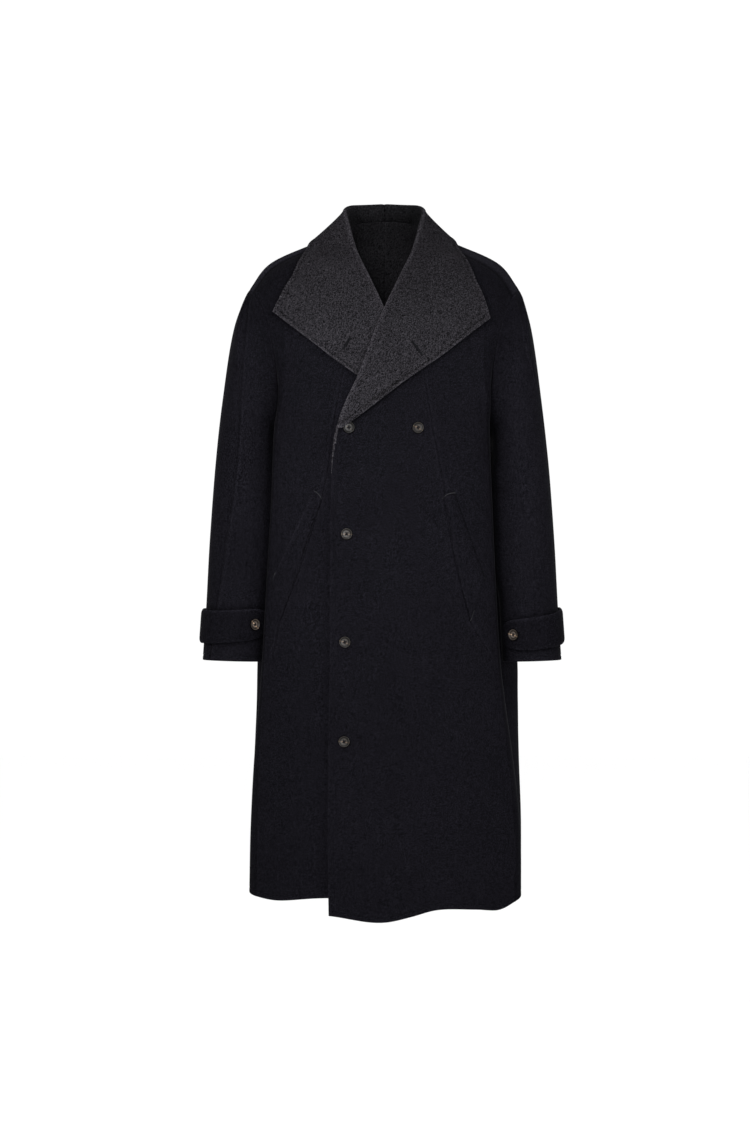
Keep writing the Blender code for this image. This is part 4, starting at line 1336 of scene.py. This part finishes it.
def add_button(name, side, point, out):
    """A button sewn on at a point, facing out."""
    body = button_body()
    thread = button_thread()
    points, faces = joined((body, thread))
    reach = np.hypot(points[:, 0], points[:, 1])
    rim = BUTTON_MATERIALS.index("button_rim_painted_shade")
    which = [rim if reach[face[0]] > RIM_AT else 0 for face in body[1]]
    which += [BUTTON_MATERIALS.index("thread_black")] * len(thread[1])
    obj = add_mesh(f"{name}_horn", points, faces, BUTTON_MATERIALS, which)
    # painted shade in the ring, a painted highlight on the dish, and each button's own painted light and
    # shade
    tone = 1 + bell(reach, RING_SHADE) + DISH_HIGHLIGHT * (1 - smooth(*DISH_PALE, reach))
    keep_tone(obj, tone * BUTTON_LIGHT_AND_SHADE.get(name, 1.0))
    flip = np.array((side, 1, 1))
    out = Vector(out * flip).normalized()
    up = (Vector((0, 0, 1)) - out * out.z).normalized()
    aside = up.cross(out)
    place = Matrix((aside, up, out)).transposed().to_4x4()
    place.translation = Vector((point * flip + np.array(out) * BUTTON_OFF) * MM)
    obj.matrix_world = place @ Matrix.Rotation(np.radians(BUTTON_TURNS[name]), 4, "Z")
    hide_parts(name)


def points_at(at, run, points):
    """The points at some lengths along a line of points."""
    return np.column_stack([np.interp(at, run, points[:, i]) for i in range(3)])


def stitch_row(points, normals):
    """Hand stitches along a line on the cloth: short threads with gaps between them."""
    run = run_lengths(points, 0)
    share = np.linspace(0, 1, STITCH_RINGS)
    arch = STITCH_RADIUS * (np.sin(np.pi * share) - STITCH_SINK)
    stitches = []
    for start in np.arange(STITCH_GAP, run[-1] - STITCH_LENGTH, STITCH_LENGTH + STITCH_GAP):
        at = start + STITCH_LENGTH * share
        path = points_at(at, run, points) + unit(points_at(at, run, normals)) * arch[:, None]
        stitches.append(tube(path, STITCH_RADIUS, STITCH_SIDES))
    return stitches


def stitch_line(grid, normals, distance, by_column=False):
    """The points of each row or column that lie as far from an edge as its stitches, and their normals."""
    if by_column:
        grid = grid.swapaxes(0, 1)
        normals = normals.swapaxes(0, 1)
        distance = distance.T
    line = []
    out = []
    for row, row_normals, away in zip(grid, normals, distance):
        order = np.argsort(away)
        line.append(points_at(STITCH_INSET, away[order], row[order])[0])
        out.append(points_at(STITCH_INSET, away[order], row_normals[order])[0])
    return np.array(line), np.array(out)


def add_stitches(name, side, lines, material):
    """The rows of hand stitches beside a piece's edges."""
    stitches = []
    for line, out in lines:
        stitches += stitch_row(line, out)
    points, faces = joined(mirrored(stitches, side))
    obj = add_mesh(f"{name}_stitches", points, faces, (material,), [0] * len(faces))


def add_tacks(side, tree):
    """The grey bars of thread at the corners of a pocket welt."""
    bars = []
    share = np.linspace(0, 1, TACK_CUTS)
    for tack in TACKS[side]:
        way = np.subtract(tack.end, tack.start)
        aside = np.array((-way[1], way[0])) / np.hypot(*way)
        flat = tack.start + np.outer(share, way) + np.outer(np.sin(np.pi * share) * tack.bow, aside)
        seen = [seen_point(tree, x, z) for x, z in flat]
        path = np.array([point + out * TACK_LIFT for point, out in seen])
        bars.append(tube(path, TACK_RADIUS))
    points, faces = joined(mirrored(bars, side))
    obj = add_mesh(f"pocket_tacks_{SIDE_NAMES[side]}", points, faces, ("thread_grey",), [0] * len(faces))


def add_buttonhole(name, side, tree, start, end):
    """A worked buttonhole on the lapel: a dark slit between two rows of thread."""
    share = np.linspace(0, 1, SLIT_CUTS)
    flat = np.array(start, float) + np.outer(share, np.subtract(end, start))
    seen = [seen_point(tree, x, z) for x, z in flat]
    line = np.array([point for point, _ in seen])
    out = unit(np.mean([normal for _, normal in seen], axis=0))
    aside = unit(np.cross(out, line[-1] - line[0]))
    opening = SLIT_HALF + SLIT_BOW * np.sin(np.pi * share)
    slit = tube(line + out * SLIT_LIFT, SLIT_RADIUS)
    whips = []
    for way in (-1, 1):
        lip = line + aside * (way * opening)[:, None] + out * LIP_LIFT
        whips.append(tube(lip, LIP_RADIUS))
        for top in lip[1:-1:2]:
            foot = top + aside * way * WHIP_LENGTH - out * WHIP_DROP
            whips.append(tube(np.linspace(top, foot, WHIP_CUTS), WHIP_RADIUS, WHIP_SIDES))
    points, faces = joined(mirrored([slit, *whips], side))
    which = [0] * len(slit[1]) + [1] * (len(faces) - len(slit[1]))
    obj = add_mesh(name, points, faces, ("thread_black", "thread_hole"), which)


def set_inputs(node, values):
    """Plain values for some of a node's inputs."""
    for name, value in values.items():
        node.inputs[name].default_value = value


def add_node(tree, kind, inputs=None, **settings):
    """A shader node with some settings and plain input values."""
    node = tree.nodes.new(kind)
    for name, value in settings.items():
        setattr(node, name, value)
    set_inputs(node, inputs or {})
    return node


def new_material(name):
    """A material kept by its name. Returns its node tree and its surface shader."""
    made = bpy.data.materials.new(name)
    made.use_nodes = True
    materials_made[name] = made
    return made.node_tree, made.node_tree.nodes["Principled BSDF"]


def places(tree):
    """The places on an object, in metres."""
    return add_node(tree, "ShaderNodeTexCoord").outputs["Object"]


def noise(tree, place, grain):
    """The values of a noise over the places on an object."""
    settings = {"Scale": (1.0, grain.length, grain.length), "Rotation": (0.0, grain.slant, 0.0)}
    mapping = add_node(tree, "ShaderNodeMapping", settings, vector_type="TEXTURE")
    tree.links.new(place, mapping.inputs["Vector"])
    settings = {"Scale": grain.scale, "Detail": grain.detail, "Roughness": GRAIN_ROUGHNESS}
    made = add_node(tree, "ShaderNodeTexNoise", settings)
    tree.links.new(mapping.outputs["Vector"], made.inputs["Vector"])
    return made.outputs["Fac"]


def ramp(tree, value, stops):
    """A colour ramp over a value, from (place, colour) stops."""
    made = add_node(tree, "ShaderNodeValToRGB")
    elements = made.color_ramp.elements
    while len(elements) < len(stops):
        elements.new(0.5)
    for element, (place, colour) in zip(elements, stops):
        element.position = place
        element.color = (*colour, 1.0)
    tree.links.new(value, made.inputs["Fac"])
    return made.outputs["Color"]


def grey(level):
    """A neutral colour of a level."""
    return level, level, level


def mixed(tree, first, second, share, blend_type="MIX"):
    """Two colours mixed by a share."""
    made = add_node(tree, "ShaderNodeMix", data_type="RGBA", blend_type=blend_type)
    set_inputs(made, {MIX_SHARE: share})
    tree.links.new(first, made.inputs[MIX_FIRST])
    tree.links.new(second, made.inputs[MIX_SECOND])
    return made.outputs[MIX_RESULT]


def times(tree, colour, factor):
    """A colour multiplied by a factor."""
    return mixed(tree, colour, factor, 1.0, "MULTIPLY")


def lighter_and_darker(tree, value, share):
    """A grey about one, up to a share lighter and darker, for toning a colour."""
    low, high = FLECK_STOPS
    return ramp(tree, value, ((low, grey(1 - share)), (high, grey(1 + share))))


def toned(tree, colour):
    """A colour made darker or lighter by the tone kept on the mesh, which is mostly painted light and shade.
    """
    kept = add_node(tree, "ShaderNodeAttribute", attribute_name=TONE_NAME)
    return times(tree, colour, kept.outputs["Color"])


def add_wool(name, wool):
    """A napped wool: fibres in two tones, larger clouds of tone, a bumpy nap and a soft sheen."""
    tree, shader = new_material(name)
    place = places(tree)
    colour = ramp(tree, noise(tree, place, wool.fibres), ((wool.low, wool.dark), (wool.high, wool.light)))
    colour = times(tree, colour, lighter_and_darker(tree, noise(tree, place, wool.flecks), wool.fleck))
    colour = times(tree, colour, lighter_and_darker(tree, noise(tree, place, wool.clouds), CLOUD))
    tree.links.new(toned(tree, colour), shader.inputs["Base Color"])
    bump = add_node(tree, "ShaderNodeBump", {"Strength": wool.nap_strength, "Distance": NAP_HEIGHT})
    tree.links.new(noise(tree, place, wool.nap), bump.inputs["Height"])
    tree.links.new(bump.outputs["Normal"], shader.inputs["Normal"])
    set_inputs(shader, {"Roughness": WOOL_ROUGHNESS, "Specular IOR Level": WOOL_GLOSS})
    set_inputs(shader, {"Sheen Weight": wool.sheen, "Sheen Roughness": SHEEN_ROUGHNESS})
    set_inputs(shader, {"Sheen Tint": SHEEN_TINT})


def add_horn():
    """Polished dark horn with one pale vein across it and cloudy streaks."""
    tree, shader = new_material("button_horn")
    place = places(tree)
    streaks = noise(tree, place, HORN_STREAKS)
    body = ramp(tree, streaks, HORN_BODY)
    split = add_node(tree, "ShaderNodeSeparateXYZ")
    tree.links.new(place, split.inputs["Vector"])
    shifted = add_node(tree, "ShaderNodeMath", {1: VEIN_WANDER}, operation="MULTIPLY_ADD")
    tree.links.new(noise(tree, place, HORN_CLOUDS), shifted.inputs[0])
    tree.links.new(split.outputs["X"], shifted.inputs[2])
    across = add_node(tree, "ShaderNodeMapRange", {"From Min": VEIN_FROM, "From Max": VEIN_TO})
    tree.links.new(shifted.outputs["Value"], across.inputs["Value"])
    vein = ramp(tree, across.outputs["Result"], [(stop, grey(level)) for stop, level in VEIN_STOPS])
    veined = mixed(tree, body, ramp(tree, streaks, HORN_VEIN), 0.0)
    tree.links.new(vein, veined.node.inputs[MIX_SHARE])
    tree.links.new(toned(tree, veined), shader.inputs["Base Color"])
    set_inputs(shader, {"Roughness": HORN_ROUGHNESS, "Specular IOR Level": HORN_GLOSS})


def add_thread(name, dark, light):
    """Twisted sewing thread: fine slanting strands in two tones."""
    tree, shader = new_material(name)
    low, high = THREAD_STOPS
    colour = ramp(tree, noise(tree, places(tree), THREAD_STRANDS), ((low, dark), (high, light)))
    tree.links.new(colour, shader.inputs["Base Color"])
    set_inputs(shader, {"Roughness": THREAD_ROUGHNESS, "Specular IOR Level": WOOL_GLOSS})


def add_materials():
    """Every material of the coat."""
    for name, wool in WOOLS.items():
        add_wool(name, wool)
    add_horn()
    for name, (dark, light) in THREADS.items():
        add_thread(name, dark, light)


def add_floor():
    """A wide pale floor."""
    _, shader = new_material("floor_paint")
    set_inputs(shader, {"Base Color": (*grey(FLOOR_TONE), 1.0), "Roughness": FLOOR_ROUGHNESS})
    mesh = bpy.data.meshes.new("floor")
    corners = ((-1, -1), (1, -1), (1, 1), (-1, 1))
    mesh.from_pydata([(x * FLOOR_HALF, y * FLOOR_HALF, FLOOR_Z) for x, y in corners], [], [(0, 1, 2, 3)])
    mesh.materials.append(materials_made["floor_paint"])
    floor = bpy.data.objects.new("floor", mesh)
    bpy.context.scene.collection.objects.link(floor)


def add_lights():
    """An even white surrounding and soft lamps."""
    world = bpy.data.worlds.new("studio")
    world.use_nodes = True
    set_inputs(world.node_tree.nodes["Background"], {"Color": (*grey(1.0), 1.0), "Strength": SURROUND})
    bpy.context.scene.world = world
    for name, lamp in LAMPS.items():
        light = bpy.data.lights.new(name, "AREA")
        light.energy = lamp.watts
        light.shape = "RECTANGLE"
        light.size, light.size_y = lamp.size
        light.spread = np.radians(lamp.spread)
        obj = bpy.data.objects.new(name, light)
        obj.location = lamp.place
        obj.rotation_euler = (Vector(lamp.aim) - Vector(lamp.place)).to_track_quat("-Z", "Y").to_euler()
        bpy.context.scene.collection.objects.link(obj)


def add_camera():
    """The photograph's camera, level and facing the coat, with colours shown as they are."""
    scene = bpy.context.scene
    camera = bpy.data.cameras.new("camera")
    camera.sensor_fit = "VERTICAL"
    camera.sensor_height = SENSOR
    camera.lens = SENSOR * FOCAL_PIXELS / PHOTO_HEIGHT
    camera.clip_end = FARTHEST
    obj = bpy.data.objects.new("camera", camera)
    obj.location = CAMERA
    obj.rotation_euler = (np.pi / 2, 0.0, 0.0)
    scene.collection.objects.link(obj)
    scene.camera = obj
    scene.view_settings.view_transform = "Standard"
    scene.view_settings.look = "None"


def add_cuff_button(side):
    """The button that holds the strap's end."""
    middle, _, off = strap_section(side, STRAP_BUTTON_ANGLE)
    point, out = sleeve_point(side, STRAP_BUTTON_ANGLE, middle)
    add_button(f"button_cuff_{SIDE_NAMES[side]}", side, point + out * (off + CLOTH + STRAP_SWELL), out)


def add_side(side, over_roll=None):
    """All the cloth of one side, with its sewing. Returns the line of its lapel's roll."""
    grids, normals, down, lowest, dart = body_panels(side)
    collar, collar_face, roll = add_collar(side, tree_of([grids["front"], grids["back"]]), over_roll)
    lapel = np.concatenate((collar_face[0, ROLL_TURNS:], collar_face[:, -1]))
    front, front_face = add_front(side, grids["front"], normals["front"], down, lowest, dart, lapel)
    strap, strap_edge = add_strap(side)
    back = add_back(side, grids["back"], normals["back"])
    pieces = [front, collar, strap, back, add_welt(side, front_face)]
    ridge_line = ridge_of(side, down)
    for half in ("sleeve_front", "sleeve_back"):
        pieces.append(add_sleeve(half, side, grids[half], normals[half], ridge_line, strap_edge))
    tree = tree_of([front_face])
    add_tacks(side, tree)
    add_buttonhole(f"buttonhole_{SIDE_NAMES[side]}", side, tree_of([collar_face]), *LAPEL_HOLES[side])
    add_cuff_button(side)
    if side == LEFT:
        for button, (x, z) in FRONT_BUTTONS.items():
            add_button(button, side, *seen_point(tree, x, z))
    return roll


def main():
    """Dresses the solids, and sets the stage."""
    add_materials()
    add_floor()
    add_lights()
    add_camera()
    add_side(RIGHT, add_side(LEFT))


materials_made = {}
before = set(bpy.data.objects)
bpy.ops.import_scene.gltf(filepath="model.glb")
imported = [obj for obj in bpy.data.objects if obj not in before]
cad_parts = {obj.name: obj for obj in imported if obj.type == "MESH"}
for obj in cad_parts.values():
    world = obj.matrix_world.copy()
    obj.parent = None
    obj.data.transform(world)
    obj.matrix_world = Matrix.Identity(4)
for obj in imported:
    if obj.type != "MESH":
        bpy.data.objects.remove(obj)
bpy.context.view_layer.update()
main()
